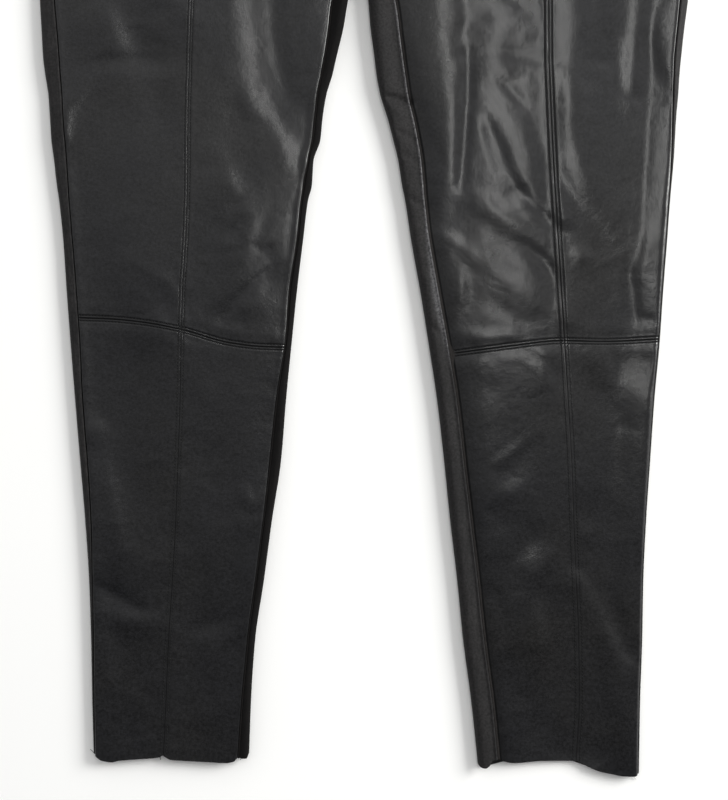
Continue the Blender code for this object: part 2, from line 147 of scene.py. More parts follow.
# the hems as they were cut: notches at the seams, rounded corners
RIGHT_CUT = ((0.0, 3.6), (0.02, 0.6), (0.055, -2.6), (0.12, -4.0), (0.16, -2.8),
             (0.28, -1.4), (0.40, -0.2), (0.43, 0.6), (0.445, 2.2), (0.46, 0.8),
             (0.50, -1.8), (0.60, -2.8), (0.72, -3.6), (0.86, -4.6), (0.905, -3.4),
             (0.925, -0.4), (0.94, 0.6), (0.955, -0.6), (0.985, -0.6), (1.0, 3.4))
LEFT_CUT = ((0.0, -13.6), (0.012, -15.6), (0.035, -16.7), (0.10, -16.4),
            (0.17, -14.6), (0.24, -12.6), (0.31, -8.8), (0.355, -5.4),
            (0.39, -3.6), (0.44, -3.2), (0.60, -3.2), (0.77, -4.8), (0.845, -3.2),
            (0.865, -1.8), (0.885, -2.0), (0.905, -2.6), (0.92, -6.2),
            (0.95, -9.0), (0.975, -8.4), (1.0, -5.0))
KNEE_FADE = 110.0
HEM_FADE = 75.0

# how high and how broad the rolled side folds stand, hem to crotch
ROLL_COLUMNS = ("height", "outer_roll", "outer_reach", "inner_roll",
                "inner_reach", "inner_run")
RIGHT_ROLLS = (
    (-20.0, 7.0, 3.6, 7.6, 4.2, 9.0),
    (200.0, 7.0, 4.0, 7.8, 4.4, 9.0),
    (400.0, 7.0, 4.4, 7.8, 4.4, 9.0),
    (560.0, 7.4, 4.8, 8.8, 4.8, 10.0),
    (666.0, 7.6, 5.0, 10.0, 5.2, 12.0),
    (700.0, 7.4, 4.8, 9.6, 4.4, 12.0),
    (960.0, 6.8, 4.2, 7.0, 4.2, 12.0),
)
LEFT_ROLLS = (
    (-20.0, 6.6, 3.8, 8.8, 6.0, 15.0),
    (200.0, 6.8, 4.4, 9.2, 6.4, 14.0),
    (400.0, 7.4, 6.4, 9.4, 6.4, 14.0),
    (560.0, 7.8, 7.6, 10.4, 7.0, 19.0),
    (666.0, 7.8, 6.6, 11.0, 7.0, 20.0),
    (700.0, 7.4, 5.4, 9.6, 4.4, 14.0),
    (960.0, 6.8, 4.2, 7.0, 4.2, 12.0),
)


# ---- smooth reading of the tables ------------------------------------------
def column(table, names, name):
    k = names.index(name)
    return [row[0] for row in table], [row[k] for row in table]


class Curve:
    """A smooth line through a table's points that adds no bump of its own."""

    def __init__(self, xs, ys):
        xs, ys = np.array(xs, float), np.array(ys, float)
        steps = np.diff(xs)
        rates = np.diff(ys) / steps
        slopes = np.zeros(len(xs))
        slopes[0], slopes[-1] = rates[0], rates[-1]
        for i in range(1, len(xs) - 1):
            if rates[i - 1] * rates[i] > 0.0:
                w0 = 2 * steps[i] + steps[i - 1]
                w1 = steps[i] + 2 * steps[i - 1]
                slopes[i] = (w0 + w1) / (w0 / rates[i - 1] + w1 / rates[i])
        self.xs, self.ys, self.slopes = xs, ys, slopes

    def __call__(self, x):
        x = np.asarray(x, float)
        xs, ys, m = self.xs, self.ys, self.slopes
        i = np.clip(np.searchsorted(xs, x) - 1, 0, len(xs) - 2)
        h = xs[i + 1] - xs[i]
        t = np.clip((x - xs[i]) / h, 0.0, 1.0)
        inside = ((1 + 2 * t) * (1 - t) ** 2 * ys[i] + t * (1 - t) ** 2 * h * m[i]
                  + t * t * (3 - 2 * t) * ys[i + 1] + t * t * (t - 1) * h * m[i + 1])
        return inside + m[0] * np.clip(x - xs[0], -20.0, 0.0)


def ease(t):
    t = np.clip(t, 0.0, 1.0)
    return t * t * (3 - 2 * t)


def bell(t):
    return np.exp(-t * t)


def centre(y):
    t = np.clip((y - CROTCH) / (BAND_TOP - CROTCH), 0.0, 1.0)
    return CENTRE_AT_CROTCH + (CENTRE_AT_WAIST - CENTRE_AT_CROTCH) * t


# ---- creases ---------------------------------------------------------------
# Each row is one soft fold, put over the photo. Its place, height and
# widths were then corrected by comparing a shaded preview with the photo. It runs
# from (x0, y0) past (xm, ym) to (x1, y1) in photo pixels. rise is its height in
# mm; lit and dark are its half widths in mm on the side towards the upper right
# and away from it.
CREASE_COLUMNS = ("x0", "y0", "xm", "ym", "x1", "y1", "rise", "lit", "dark")
RIGHT_CREASES = (
    # broad swells and hollows
    (95, 2, 106, 23, 118, 50, 1.96, 13.8, 30.6),
    (234, -55, 232, 30, 249, 109, 1.34, 16.8, 42.9),
    (177, 28, 186, 16, 192, 32, 1.45, 20.2, 18.4),
    (137, 26, 144, 47, 167, 53, -2.38, 14.6, 18.7),
    (288, -38, 286, 41, 275, 123, -3.00, 19.9, 45.0),
    (100, -49, 103, 73, 91, 191, -0.98, 45.0, 28.7),
    (194, -22, 207, 75, 206, 184, -0.80, 24.5, 42.2),
    (157, 80, 159, 105, 164, 130, -1.53, 15.3, 17.5),
    (105, 105, 133, 127, 160, 110, -0.57, 20.0, 25.4),
    (250, 104, 276, 142, 293, 179, 1.95, 12.3, 23.5),
    (219, 166, 227, 186, 238, 201, 1.80, 12.4, 39.1),
    (117, 200, 145, 213, 123, 251, -0.52, 14.0, 13.9),
    (139, 178, 146, 240, 144, 302, 1.57, 45.0, 44.3),
    (258, 199, 259, 241, 240, 311, 2.24, 23.3, 28.5),
    (74, 239, 87, 273, 101, 302, -0.83, 24.7, 26.8),
    (207, 378, 215, 419, 222, 464, 0.92, 32.2, 17.9),
    (133, 332, 125, 420, 116, 521, -2.61, 26.9, 34.3),
    (223, 350, 213, 427, 204, 522, -1.63, 21.3, 26.1),
    (191, 427, 201, 454, 193, 480, -0.78, 45.0, 34.9),
    (138, 465, 146, 512, 142, 556, -1.69, 45.0, 17.1),
    (235, 524, 253, 522, 265, 522, 1.22, 10.9, 26.6),
    (86, 560, 101, 559, 124, 560, 0.91, 29.4, 30.8),
    (199, 609, 214, 613, 220, 627, -0.87, 45.0, 14.5),
    (109, 551, 122, 645, 139, 739, -2.21, 30.5, 16.8),
    (191, 554, 191, 638, 190, 748, -2.78, 19.3, 34.4),
    (98, 699, 111, 729, 139, 729, -0.60, 24.5, 45.0),
    # folds and creases
    (151, 0, 163, 0, 179, 4, 0.84, 6.1, 6.4),
    (288, -27, 293, 38, 296, 76, 1.80, 26.8, 10.6),
    (262, -39, 272, 72, 306, 132, 0.34, 5.0, 8.1),
    (101, 62, 130, 58, 170, 61, -0.60, 4.8, 7.3),
    (326, 27, 317, 70, 312, 100, 0.95, 4.8, 8.1),
    (94, 68, 126, 63, 158, 67, -0.72, 6.7, 6.5),
    (93, 79, 84, 89, 67, 108, 0.73, 6.9, 18.8),
    (235, 97, 241, 119, 261, 122, -1.06, 6.9, 15.4),
    (63, 143, 68, 115, 79, 94, 1.43, 9.5, 8.5),
    (206, 140, 221, 156, 226, 166, 0.10, 9.0, 12.9),
    (69, 144, 70, 160, 73, 180, -0.70, 7.0, 5.6),
    (302, 153, 296, 184, 290, 216, 0.99, 5.0, 45.0),
    (204, 213, 223, 225, 239, 233, -0.19, 8.9, 45.0),
    (227, 237, 238, 226, 248, 219, -0.54, 4.9, 6.3),
    (256, 248, 261, 229, 269, 215, -0.72, 8.0, 6.6),
    (224, 243, 239, 248, 253, 239, 0.70, 5.4, 15.9),
    (293, 204, 288, 243, 286, 277, 0.96, 4.8, 12.6),
    (229, 253, 244, 249, 256, 248, -0.55, 5.4, 6.1),
    (275, 251, 264, 255, 248, 268, -0.93, 6.9, 7.4),
    (132, 257, 148, 271, 161, 275, 0.30, 6.8, 4.8),
    (259, 294, 270, 283, 274, 267, -0.62, 8.1, 7.8),
    (224, 318, 243, 293, 276, 265, -1.15, 6.7, 6.3),
    (155, 280, 172, 286, 178, 316, 0.45, 5.0, 6.6),
    (154, 312, 164, 327, 178, 324, 1.39, 8.4, 20.5),
    (215, 318, 236, 322, 249, 323, -0.77, 11.0, 6.7),
    (283, 283, 279, 318, 273, 383, 1.33, 6.7, 38.2),
    (270, 336, 276, 340, 273, 347, 0.88, 6.9, 14.6),
    (88, 412, 94, 422, 115, 429, -0.08, 4.8, 5.7),
    (94, 420, 99, 428, 107, 431, 1.08, 7.1, 12.8),
    (246, 492, 256, 503, 264, 485, 1.30, 7.5, 8.1),
    (100, 448, 109, 499, 118, 549, 1.81, 10.5, 18.8),
    (233, 494, 219, 523, 213, 560, 0.22, 5.2, 9.5),
    (122, 584, 133, 597, 154, 587, -0.16, 5.4, 11.0),
    (253, 556, 249, 589, 243, 630, 1.11, 5.6, 10.4),
    (92, 582, 117, 596, 142, 610, -0.66, 6.3, 5.7),
    (133, 608, 149, 608, 166, 601, -0.21, 4.8, 7.0),
    (98, 608, 123, 620, 158, 621, 1.08, 8.3, 12.6),
    (193, 631, 206, 627, 228, 624, -0.83, 11.4, 7.0),
    (106, 634, 110, 651, 111, 686, 0.70, 7.7, 7.3),
    (123, 686, 141, 703, 156, 718, 0.38, 6.6, 8.9),
    (194, 721, 212, 713, 234, 702, 0.47, 10.9, 9.0),
)
LEFT_CREASES = (
    # broad swells and hollows
    (566, -12, 574, 31, 565, 66, 1.72, 19.3, 20.7),
    (493, 44, 508, 29, 527, 38, 0.98, 19.8, 19.6),
    (435, -43, 439, 50, 442, 185, 1.97, 14.8, 29.8),
    (490, -17, 500, 101, 514, 200, 1.18, 14.2, 25.1),
    (628, -35, 617, 92, 615, 240, -1.96, 45.0, 24.9),
    (562, 82, 571, 102, 563, 131, 1.52, 13.8, 12.0),
    (480, 102, 482, 113, 492, 126, 0.90, 11.4, 23.1),
    (566, 110, 583, 159, 602, 197, 1.61, 41.6, 12.0),
    (409, 83, 415, 165, 426, 229, -1.75, 14.0, 45.0),
    (471, 233, 482, 246, 489, 271, 0.67, 11.0, 23.5),
    (499, 200, 518, 260, 526, 323, 1.06, 20.7, 23.3),
    (599, 266, 612, 301, 616, 349, -2.39, 29.6, 30.0),
    (581, 369, 598, 392, 615, 422, -1.48, 11.1, 17.8),
    (478, 353, 490, 419, 498, 525, 2.34, 41.6, 20.4),
    (642, 425, 643, 451, 644, 472, 0.22, 12.6, 18.9),
    (492, 475, 502, 470, 514, 465, -0.38, 13.2, 15.0),
    (490, 405, 524, 470, 533, 551, -1.61, 24.4, 29.9),
    (618, 385, 610, 470, 602, 575, -3.00, 15.1, 40.6),
    (579, 524, 598, 520, 605, 542, -1.47, 17.1, 13.4),
    (573, 552, 601, 559, 618, 609, -1.42, 14.4, 13.1),
    (532, 557, 530, 641, 538, 728, -1.97, 45.0, 45.0),
    (589, 586, 590, 660, 598, 734, -3.00, 20.7, 44.4),
    (580, 636, 586, 680, 595, 726, -1.71, 15.2, 39.0),
    (569, 708, 576, 735, 597, 767, -2.85, 17.3, 45.0),
    # folds and creases
    (432, -56, 451, -4, 457, 59, 1.06, 6.5, 44.9),
    (503, 4, 514, 1, 528, 14, -0.97, 22.6, 5.3),
    (596, -7, 599, 15, 608, 42, 0.96, 15.8, 9.4),
    (531, 8, 547, 15, 520, 43, 0.43, 6.2, 5.0),
    (679, -20, 661, 31, 672, 77, 1.30, 30.0, 6.8),
    (543, 17, 539, 37, 540, 43, -0.27, 5.1, 9.1),
    (591, 1, 598, 22, 624, 64, -0.77, 10.1, 8.9),
    (640, -37, 637, 21, 630, 106, 1.17, 9.4, 7.3),
    (461, 56, 464, 26, 498, 25, -0.66, 7.1, 5.2),
    (548, 58, 569, 56, 596, 58, -1.31, 25.9, 8.3),
    (461, 57, 507, 54, 552, 65, -1.19, 7.3, 6.6),
    (652, 39, 649, 50, 664, 104, -0.59, 6.4, 13.9),
    (580, 65, 609, 65, 618, 80, -0.61, 7.3, 5.2),
    (473, 75, 496, 74, 513, 77, 0.88, 17.4, 6.7),
    (496, 76, 511, 92, 524, 106, -0.80, 4.8, 4.8),
    (617, 89, 648, 102, 668, 97, -0.97, 7.2, 5.1),
    (522, 78, 526, 90, 520, 116, 0.69, 10.5, 14.4),
    (405, 66, 418, 120, 433, 157, -1.42, 9.1, 19.5),
    (467, 55, 467, 106, 460, 186, -1.05, 5.3, 5.3),
    (457, 55, 453, 112, 452, 188, 0.85, 5.8, 11.6),
    (652, -30, 648, 102, 635, 280, -0.66, 4.8, 29.7),
    (478, 109, 497, 145, 513, 188, -0.67, 5.1, 6.8),
    (674, 117, 678, 150, 666, 205, 0.87, 7.7, 7.2),
    (479, 122, 483, 158, 504, 205, 0.71, 6.3, 26.5),
    (564, 143, 569, 169, 587, 196, 1.01, 14.2, 7.9),
    (521, 129, 528, 169, 533, 211, 1.98, 10.2, 16.9),
    (504, 192, 514, 195, 522, 191, -0.79, 7.4, 6.3),
    (512, 180, 533, 207, 562, 234, -0.96, 5.3, 4.8),
    (484, 189, 488, 208, 516, 226, 0.48, 5.4, 18.4),
    (559, 191, 563, 213, 565, 225, 1.12, 6.4, 6.7),
    (577, 187, 604, 220, 621, 244, 0.60, 21.8, 6.9),
    (473, 198, 497, 216, 540, 240, 0.81, 8.4, 10.4),
    (436, 236, 449, 241, 465, 251, 1.26, 6.8, 19.8),
    (666, 219, 659, 251, 659, 271, 0.22, 18.9, 4.8),
    (572, 257, 581, 256, 576, 264, 1.25, 7.5, 17.5),
    (482, 234, 492, 273, 526, 290, 0.72, 7.8, 24.3),
    (648, 240, 640, 267, 634, 284, 0.85, 8.5, 5.9),
    (451, 248, 470, 265, 504, 291, -0.18, 4.9, 9.6),
    (517, 244, 545, 265, 557, 295, -1.46, 7.3, 8.2),
    (456, 268, 460, 287, 458, 306, 1.16, 6.5, 12.1),
    (630, 268, 630, 285, 633, 315, -1.13, 5.7, 6.3),
    (499, 294, 502, 312, 534, 322, -0.58, 12.8, 7.0),
    (628, 312, 645, 320, 667, 315, -0.51, 6.3, 6.4),
    (562, 304, 567, 318, 568, 327, 0.89, 8.4, 8.1),
    (466, 317, 490, 316, 511, 324, 0.27, 5.8, 7.2),
    (459, 333, 481, 336, 512, 336, 0.76, 4.8, 7.1),
    (590, 336, 621, 335, 639, 335, -0.75, 26.5, 5.1),
    (512, 340, 538, 339, 552, 340, -0.93, 20.5, 7.5),
    (511, 338, 537, 348, 552, 362, 1.06, 10.7, 5.6),
    (474, 365, 489, 350, 506, 357, 0.56, 9.0, 6.9),
    (516, 358, 528, 362, 549, 372, 0.35, 5.6, 4.8),
    (608, 347, 617, 361, 615, 387, -1.22, 11.5, 8.8),
    (611, 345, 611, 378, 654, 407, 0.55, 10.4, 23.2),
    (542, 362, 543, 377, 547, 392, 1.37, 7.3, 13.3),
    (468, 380, 492, 391, 511, 394, -0.37, 10.9, 10.9),
    (649, 370, 653, 386, 651, 408, 1.33, 6.7, 7.1),
    (602, 403, 605, 418, 618, 415, 0.47, 7.9, 9.2),
    (599, 440, 619, 434, 636, 446, 0.29, 6.5, 9.2),
    (496, 464, 509, 454, 525, 439, 0.58, 4.9, 6.1),
    (639, 358, 678, 458, 649, 572, -1.98, 12.2, 10.7),
    (505, 496, 515, 490, 528, 478, 0.81, 8.7, 16.3),
    (492, 525, 492, 512, 498, 528, -0.66, 11.3, 5.7),
    (515, 559, 527, 546, 532, 525, -0.88, 9.9, 10.8),
    (525, 560, 533, 556, 540, 553, 0.32, 9.2, 12.0),
    (527, 556, 530, 566, 538, 576, 0.94, 8.8, 9.3),
    (547, 559, 529, 586, 523, 606, 0.86, 6.3, 8.6),
    (577, 564, 600, 588, 618, 630, -1.54, 8.7, 7.8),
    (491, 589, 503, 617, 497, 644, -0.72, 6.1, 9.1),
    (528, 590, 533, 624, 538, 654, 1.72, 10.1, 34.7),
    (610, 615, 623, 645, 634, 660, -1.12, 11.2, 6.0),
    (628, 671, 622, 708, 627, 748, 1.21, 9.2, 15.2),
    (520, 692, 534, 711, 525, 744, -1.35, 45.0, 10.6),
    # across the knit beside the inside seam
    (379, 98, 395, 99, 412, 104, -2.80, 2.7, 3.1),
    (384, 112, 397, 113, 412, 116, 0.60, 4.0, 4.0),
    (390, 131, 402, 134, 414, 141, -1.20, 2.8, 2.8),
    (394, 152, 406, 156, 420, 164, -0.90, 2.8, 3.0),
    (402, 196, 412, 200, 424, 207, -1.10, 2.6, 3.0),
    (412, 262, 420, 266, 432, 274, -0.80, 3.0, 3.0),
    (420, 322, 430, 327, 442, 335, -1.20, 2.8, 3.2),
)
# above the photo, on the seat and the hip, of the same kind, in garment mm:
# x and height of start, middle and end
SEAT_CREASES = (
    (-20, 716, -70, 742, -130, 752, -1.3, 6.0, 8.0),
    (-24, 735, -80, 768, -120, 800, 1.2, 12.0, 12.0),
    (-16, 760, -52, 792, -96, 812, -0.9, 6.0, 8.0),
    (10, 716, 56, 744, 118, 758, -1.3, 6.0, 8.0),
    (12, 738, 66, 772, 108, 812, 1.2, 12.0, 12.0),
    (8, 764, 44, 800, 82, 830, -0.9, 6.0, 8.0),
    (-180, 720, -190, 770, -180, 830, 1.2, 12.0, 20.0),
    (-230, 760, -214, 790, -206, 840, -0.8, 9.0, 10.0),
    (-140, 830, -120, 862, -112, 900, 0.9, 9.0, 12.0),
    (-60, 850, -50, 880, -56, 905, 0.7, 10.0, 12.0),
    (178, 700, 190, 760, 176, 826, 1.3, 12.0, 18.0),
    (224, 740, 214, 780, 200, 822, -0.9, 9.0, 10.0),
    (130, 836, 116, 866, 106, 900, 0.9, 9.0, 12.0),
    (46, 852, 40, 880, 48, 904, 0.7, 10.0, 12.0),
    (-150, 690, -120, 700, -80, 694, -0.6, 8.0, 9.0),
    (100, 690, 136, 704, 160, 700, -0.6, 8.0, 9.0),
)


def crease_height(x, y, rows, in_px=True):
    """Sum of the soft folds at every (x, y)."""
    total = np.zeros_like(x)
    steps = 7
    for x0, y0, xm, ym, x1, y1, rise, lit, dark in rows:
        if in_px:
            a, m, b = (np.array(from_px(*p)) for p in ((x0, y0), (xm, ym), (x1, y1)))
        else:
            a, m, b = np.array((x0, y0)), np.array((xm, ym)), np.array((x1, y1))
        m = 2 * m - (a + b) / 2                 # the curve passes through the middle
        t = np.linspace(0, 1, steps + 1)[:, None]
        line = (1 - t) ** 2 * a + 2 * t * (1 - t) * m + t * t * b
        reach = 3.2 * max(lit, dark)
        low, high = line.min(0) - reach, line.max(0) + reach
        near = (x > low[0]) & (x < high[0]) & (y > low[1]) & (y < high[1])
        if not near.any():
            continue
        px, py = x[near], y[near]
        best = np.full(px.shape, 1e9)
        side = np.zeros(px.shape)
        along = np.zeros(px.shape)
        for k in range(steps):
            p, q = line[k], line[k + 1]
            d = q - p
            s = np.clip(((px - p[0]) * d[0] + (py - p[1]) * d[1]) / (d @ d), 0, 1)
            ox, oy = px - p[0] - s * d[0], py - p[1] - s * d[1]
            gap = np.hypot(ox, oy)
            closer = gap < best
            best = np.where(closer, gap, best)
            lean = (-d[1] * ox + d[0] * oy) / math.hypot(d[0], d[1])
            if -d[1] + d[0] < 0:                # its left normal points away from
                lean = -lean                    # the upper right
            side = np.where(closer, lean / np.maximum(gap, 1e-6), side)
            along = np.where(closer, (k + s) / steps, along)
        mix = ease((side + 1) / 2)
        half = dark + (lit - dark) * mix
        ends = 0.45 + 0.55 * np.sin(np.pi * np.clip(along, 0, 1)) ** 0.7
        total[near] += rise * ends * bell(best / half)
    return total


def lattice(seed, nx, ny):
    return np.random.RandomState(seed).uniform(-1, 1, (ny, nx))


def soft_noise(x, y, cell, seed):
    """Smooth unevenness with bumps about one cell across, from -1 to 1."""
    grid = lattice(seed, 256, 256)
    u, v = x / cell + 97.0, y / cell + 61.0
    i, j = np.floor(u).astype(int), np.floor(v).astype(int)
    fu, fv = ease(u - i), ease(v - j)
    i0, j0, i1, j1 = i % 256, j % 256, (i + 1) % 256, (j + 1) % 256
    return ((grid[j0, i0] * (1 - fu) + grid[j0, i1] * fu) * (1 - fv)
            + (grid[j1, i0] * (1 - fu) + grid[j1, i1] * fu) * fv)


# ---- seam sections ---------------------------------------------------------
def topstitched(gap, row_at):
    """Open seam: ditch, two low welts, and a sunk stitch row on each side."""
    gap = np.abs(gap)
    return (-0.34 * bell(gap / 0.72) - 0.12 * bell(gap / 0.30)
            + 0.04 * bell((gap - row_at * 0.5) / (row_at * 0.28))
            - 0.30 * bell((gap - row_at) / 0.72)
            + 0.20 * (1 - ease((gap - row_at) / 4.5)))


def side_seam(gap, wide, lip, welt, sink):
    """Plain seam's height; gap grows towards the leather, which may sink to it."""
    ditch = -1.5 * wide * bell(np.where(gap > 0, gap / (1.25 * wide), gap / 0.5))
    knit = lip * bell(np.where(gap > -1.5, (gap + 1.5) / 0.85, (gap + 1.5) / 1.2))
    leather = (welt * bell(np.where(gap > 3.4, (gap - 3.4) / 5.0, (gap - 3.4) / 1.4))
               - sink * bell(gap / 6.5))
    return ditch + np.where(gap < 0.4, knit, 0) + np.where(gap > -0.4, leather, 0)


def crevice(gap, row_at):
    """How far into a topstitched seam's ditch and stitch rows a place lies; it sets how much
    painted shade the place gets.
    """
    gap = np.abs(gap)
    return np.maximum(bell(gap / 0.90), 0.95 * bell((gap - row_at) / 0.82))


KNEE_ROW = 2.35          # knee seam's stitch rows, off its ditch


class Leg:
    """One leg and its half of the seat, read from its tables."""

    def __init__(self, side, sections, knee, hem, rolls, creases, seam_strength,
                 seam_shade, stitch_row, knee_seam, side_seams, painted_strip_shade, taut_lip_and_highlight, seed):
        self.side, self.seed = side, seed
        for name in SECTION_COLUMNS[1:]:
            setattr(self, name, Curve(*column(sections, SECTION_COLUMNS, name)))
        for name in ROLL_COLUMNS[1:]:
            setattr(self, name, Curve(*column(rolls, ROLL_COLUMNS, name)))
        self.knee = Curve(*column(knee, ACROSS_COLUMNS, "height"))
        self.hem = Curve(*column(hem, ACROSS_COLUMNS, "height"))
        self.knee_height = sections[7][0]
        self.creases = creases
        self.seam_strength = seam_strength
        self.seam_shade = seam_shade          # how much painted shade the front seam's grooves get
        self.knee_seam = knee_seam            # the knee seam's painted shade, and how it sinks
        self.stitch_row = stitch_row          # front seam's, off its ditch
        self.side_seams = side_seams          # outer's and inner's width, lip, welt, sink
        self.painted_strip_shade = painted_strip_shade                      # how much painted shade the inner knit strip gets
        self.taut_lip_and_highlight = taut_lip_and_highlight                    # how taut and smooth its lip is, and how much painted highlight it gets

    def inner(self, y):
        t = np.clip((y - CROTCH) / 6.0, 0.0, 1.0)
        near = centre(y) + self.side * 0.05
        return self.inner_edge(np.minimum(y, CROTCH)) * (1 - t) + near * t

    def width(self, y):
        return np.abs(self.inner(y) - self.outer_edge(y))

    def reach(self, inside, y):
        if not inside:
            return self.outer_reach(y)
        return np.maximum(self.inner_reach(y)
                          * (1.0 - np.clip((y - CROTCH + 8) / 14.0, 0.0, 1.0)), 0.02)

    def strip(self, inside, y):
        if not inside:
            return np.maximum(self.outer_strip(y), 0.35)
        t = np.clip((y - CROTCH + 8) / 14.0, 0.0, 1.0)
        return np.maximum(self.inner_strip(np.minimum(y, CROTCH - 8)), 0.3) * (1 - t) + 0.02 * t

    def x(self, d, y):
        return self.outer_edge(y) - self.side * d

    def unroll(self, inside, d, y):
        """Length over the skin from a side fold's edge to a distance d in."""
        reach = self.reach(inside, y)
        turn = np.arccos(np.clip(1 - np.minimum(d, reach) / reach, -1, 1))
        return reach * turn + np.maximum(d - reach, 0.0)

    def roll_in(self, inside, e, y):
        """The distance in from the fold's edge, and the turn over its round."""
        reach = self.reach(inside, y)
        turn = np.minimum(e / reach, np.pi / 2)
        return (reach * (1 - np.cos(turn)) + np.maximum(e - reach * np.pi / 2, 0.0),
                turn)

    def length(self, y):
        """Skin length over the top from one fold's edge to the other's."""
        ro, ri = self.reach(0, y), self.reach(1, y)
        return self.width(y) + (np.pi / 2 - 1) * (ro + ri)

    def seam(self, y):
        """Skin length from the outer edge to the front seam."""
        d = np.abs(self.front_seam(y) - self.outer_edge(y))
        return self.unroll(0, d, y)

    def middle(self, inside, y):
        """Height of a side fold's outermost line."""
        if not inside:
            return 0.46 * self.outer_roll(y)
        return 0.46 * self.inner_roll(y) * (1 - ease((y - (CROTCH - 16.0)) / 14.0))

    def across(self, e, y):
        """Distance in from the outer edge at a skin length e."""
        d_out, _ = self.roll_in(0, e, y)
        d_in, _ = self.roll_in(1, np.maximum(self.length(y) - e, 0.0), y)
        return np.where(e < self.length(y) / 2, d_out, self.width(y) - d_in)

    def plateau(self, d, y, x):
        w = self.width(y)
        ro, ri = self.reach(0, y), self.reach(1, y)
        inside = 1.0 - ease((y - (CROTCH - 26.0)) / 60.0)
        top = REST_HEIGHT + np.zeros_like(d)
        top = top + (self.outer_roll(y) - REST_HEIGHT) * (1 - ease((d - ro * 0.8) / 20.0))
        top = top + ((self.inner_roll(y) - REST_HEIGHT) * inside
                     * (1 - ease((w - d - ri * 0.8) / self.inner_run(y))))
        near = np.minimum(d, np.where(y < CROTCH, w - d, 1e9))
        top = top + CROWN * (1 - np.minimum((d / w - 0.5) / 0.5, 1.0) ** 2)
        folds = crease_height(x, y, self.creases) + crease_height(x, y, SEAT_CREASES, False)
        folds = folds + 0.12 * soft_noise(x, y, 34.0, self.seed)
        folds = folds + 0.09 * soft_noise(x, y, 15.0, self.seed + 1)
        folds = folds + 0.050 * soft_noise(x, y, 6.0, self.seed + 2)
        folds = folds + 0.026 * soft_noise(x, y, 4.4, self.seed + 3)
        top = top + folds * ease((near - 0.5) / 7.0)
        return LOWEST_TOP + 0.35 * np.logaddexp(0, (top - LOWEST_TOP) / 0.35), folds

    def skin(self, e, y):
        """Point of the top skin at a length e from the outer edge's fold.

        Gives the smooth place, its normal, the seams' own height there, how much
        painted shade it gets deep in a seam, and the folds' height.
        """
        whole = self.length(y)
        d_out, turn_out = self.roll_in(0, e, y)
        d_in, turn_in = self.roll_in(1, np.maximum(whole - e, 0.0), y)
        w = self.width(y)
        outer_half = e < whole / 2
        d = np.where(outer_half, d_out, w - d_in)
        turn = np.where(outer_half, turn_out, turn_in)
        out = np.where(outer_half, self.side, -self.side)
        reach = np.where(outer_half, self.reach(0, y), self.reach(1, y))
        middle = np.where(outer_half, self.middle(0, y), self.middle(1, y))
        x = self.x(d, y)
        z, folds = self.plateau(d, y, x)
        rolled = (turn < np.pi / 2 - 1e-6) & (reach > 0.05)
        tall = np.maximum(z - middle, 0.5)
        z = np.where(rolled, middle + tall * np.sin(turn), z)
        nx = np.where(rolled, out * np.cos(turn) / np.maximum(reach, 0.1), 0.0)
        nz = np.where(rolled, np.sin(turn) / tall + 1e-3, 1.0)
        size = np.hypot(nx, nz)
        nx, nz = nx / size, nz / size
        return (x, z, nx, nz, *self.seams(e, x, y), folds)

    def seams(self, e, x, y):
        """Height that the seams add to the skin, and how much painted shade a place gets."""
        e_out = self.unroll(0, self.strip(0, y), y)
        whole = self.length(y)
        e_in = whole - self.unroll(1, self.strip(1, y), y)
        below = 1.0 - ease((y - (CROTCH - 14.0)) / 14.0)
        above = ease((y - CROTCH) / 10.0)
        band = y - BAND_LOW - waist_shift(BAND_LOW, x, "top")
        under_band = ease(-band / 3.0)
        gap = e - self.seam(y)
        front = self.seam_strength(y) * under_band
        h = topstitched(gap, self.stitch_row) * front
        leather = ease((e - e_out - 0.4) / 1.2) * np.maximum(
            ease((e_in - e - 0.4) / 1.2), above)
        knee_gap = y - self.knee_line(x)
        h = h + ((topstitched(knee_gap, KNEE_ROW)
                  - self.knee_seam[1] * bell(knee_gap / 6.5)) * leather
                 * (1 - 0.55 * bell(gap / 2.2)))
        h = h + side_seam(e - e_out, *self.side_seams[0])
        h = h + side_seam(e_in - e, *self.side_seams[1]) * below
        h = h + above * under_band * (-0.9 * bell((whole - e) / 0.5)
                                      + 0.3 * bell((whole - e - 1.9) / 1.6))
        near_band = np.abs(band) < 12
        h = h + np.where(near_band, -0.9 * bell(band / 0.5)
                         + 0.3 * bell((np.abs(band) - 1.9) / 1.6), 0.0)
        # slight puckers that the stitching draws up beside the seams
        pucker = (bell((np.abs(gap) - 4.5) / 3.2) * under_band
                  * soft_noise(np.sign(gap) * 40.0, y, 5.2, self.seed + 7)
                  + bell((np.abs(knee_gap) - 4.0) / 3.0) * leather
                  * soft_noise(x, np.sign(knee_gap) * 40.0, 5.2, self.seed + 8)
                  + bell((e - e_out - 4.0) / 3.4)
                  * soft_noise(y, 0.0 * y, 7.0, self.seed + 9)
                  + bell((e_in - e - 4.0) / 3.4) * below
                  * soft_noise(y, 0.0 * y, 7.0, self.seed + 10))
        # painted shade: how dark each place is painted in the seams' ditches, stitch rows and
        # crevices
        deep = np.maximum(crevice(gap, self.stitch_row) * self.seam_shade(y) * under_band,
                          crevice(knee_gap, KNEE_ROW) * leather * self.knee_seam[0])
        for side, seam, here in ((e - e_out, self.side_seams[0], 1.0),
                                 (e_in - e, self.side_seams[1], below)):
            deep = np.maximum(deep, here * bell(np.where(
                side > 0, side / (1.5 * seam[0] + 2.0 * seam[3]), side / 0.45)))
        # painted shade over a leg's whole inner knit strip
        deep = np.maximum(deep, self.painted_strip_shade * below * (e > e_in))
        deep = np.maximum(deep, above * under_band * bell((whole - e) / 0.7))
        deep = np.maximum(deep, np.where(near_band, bell(band / 0.7), 0.0))
        return h + 0.09 * pucker, deep

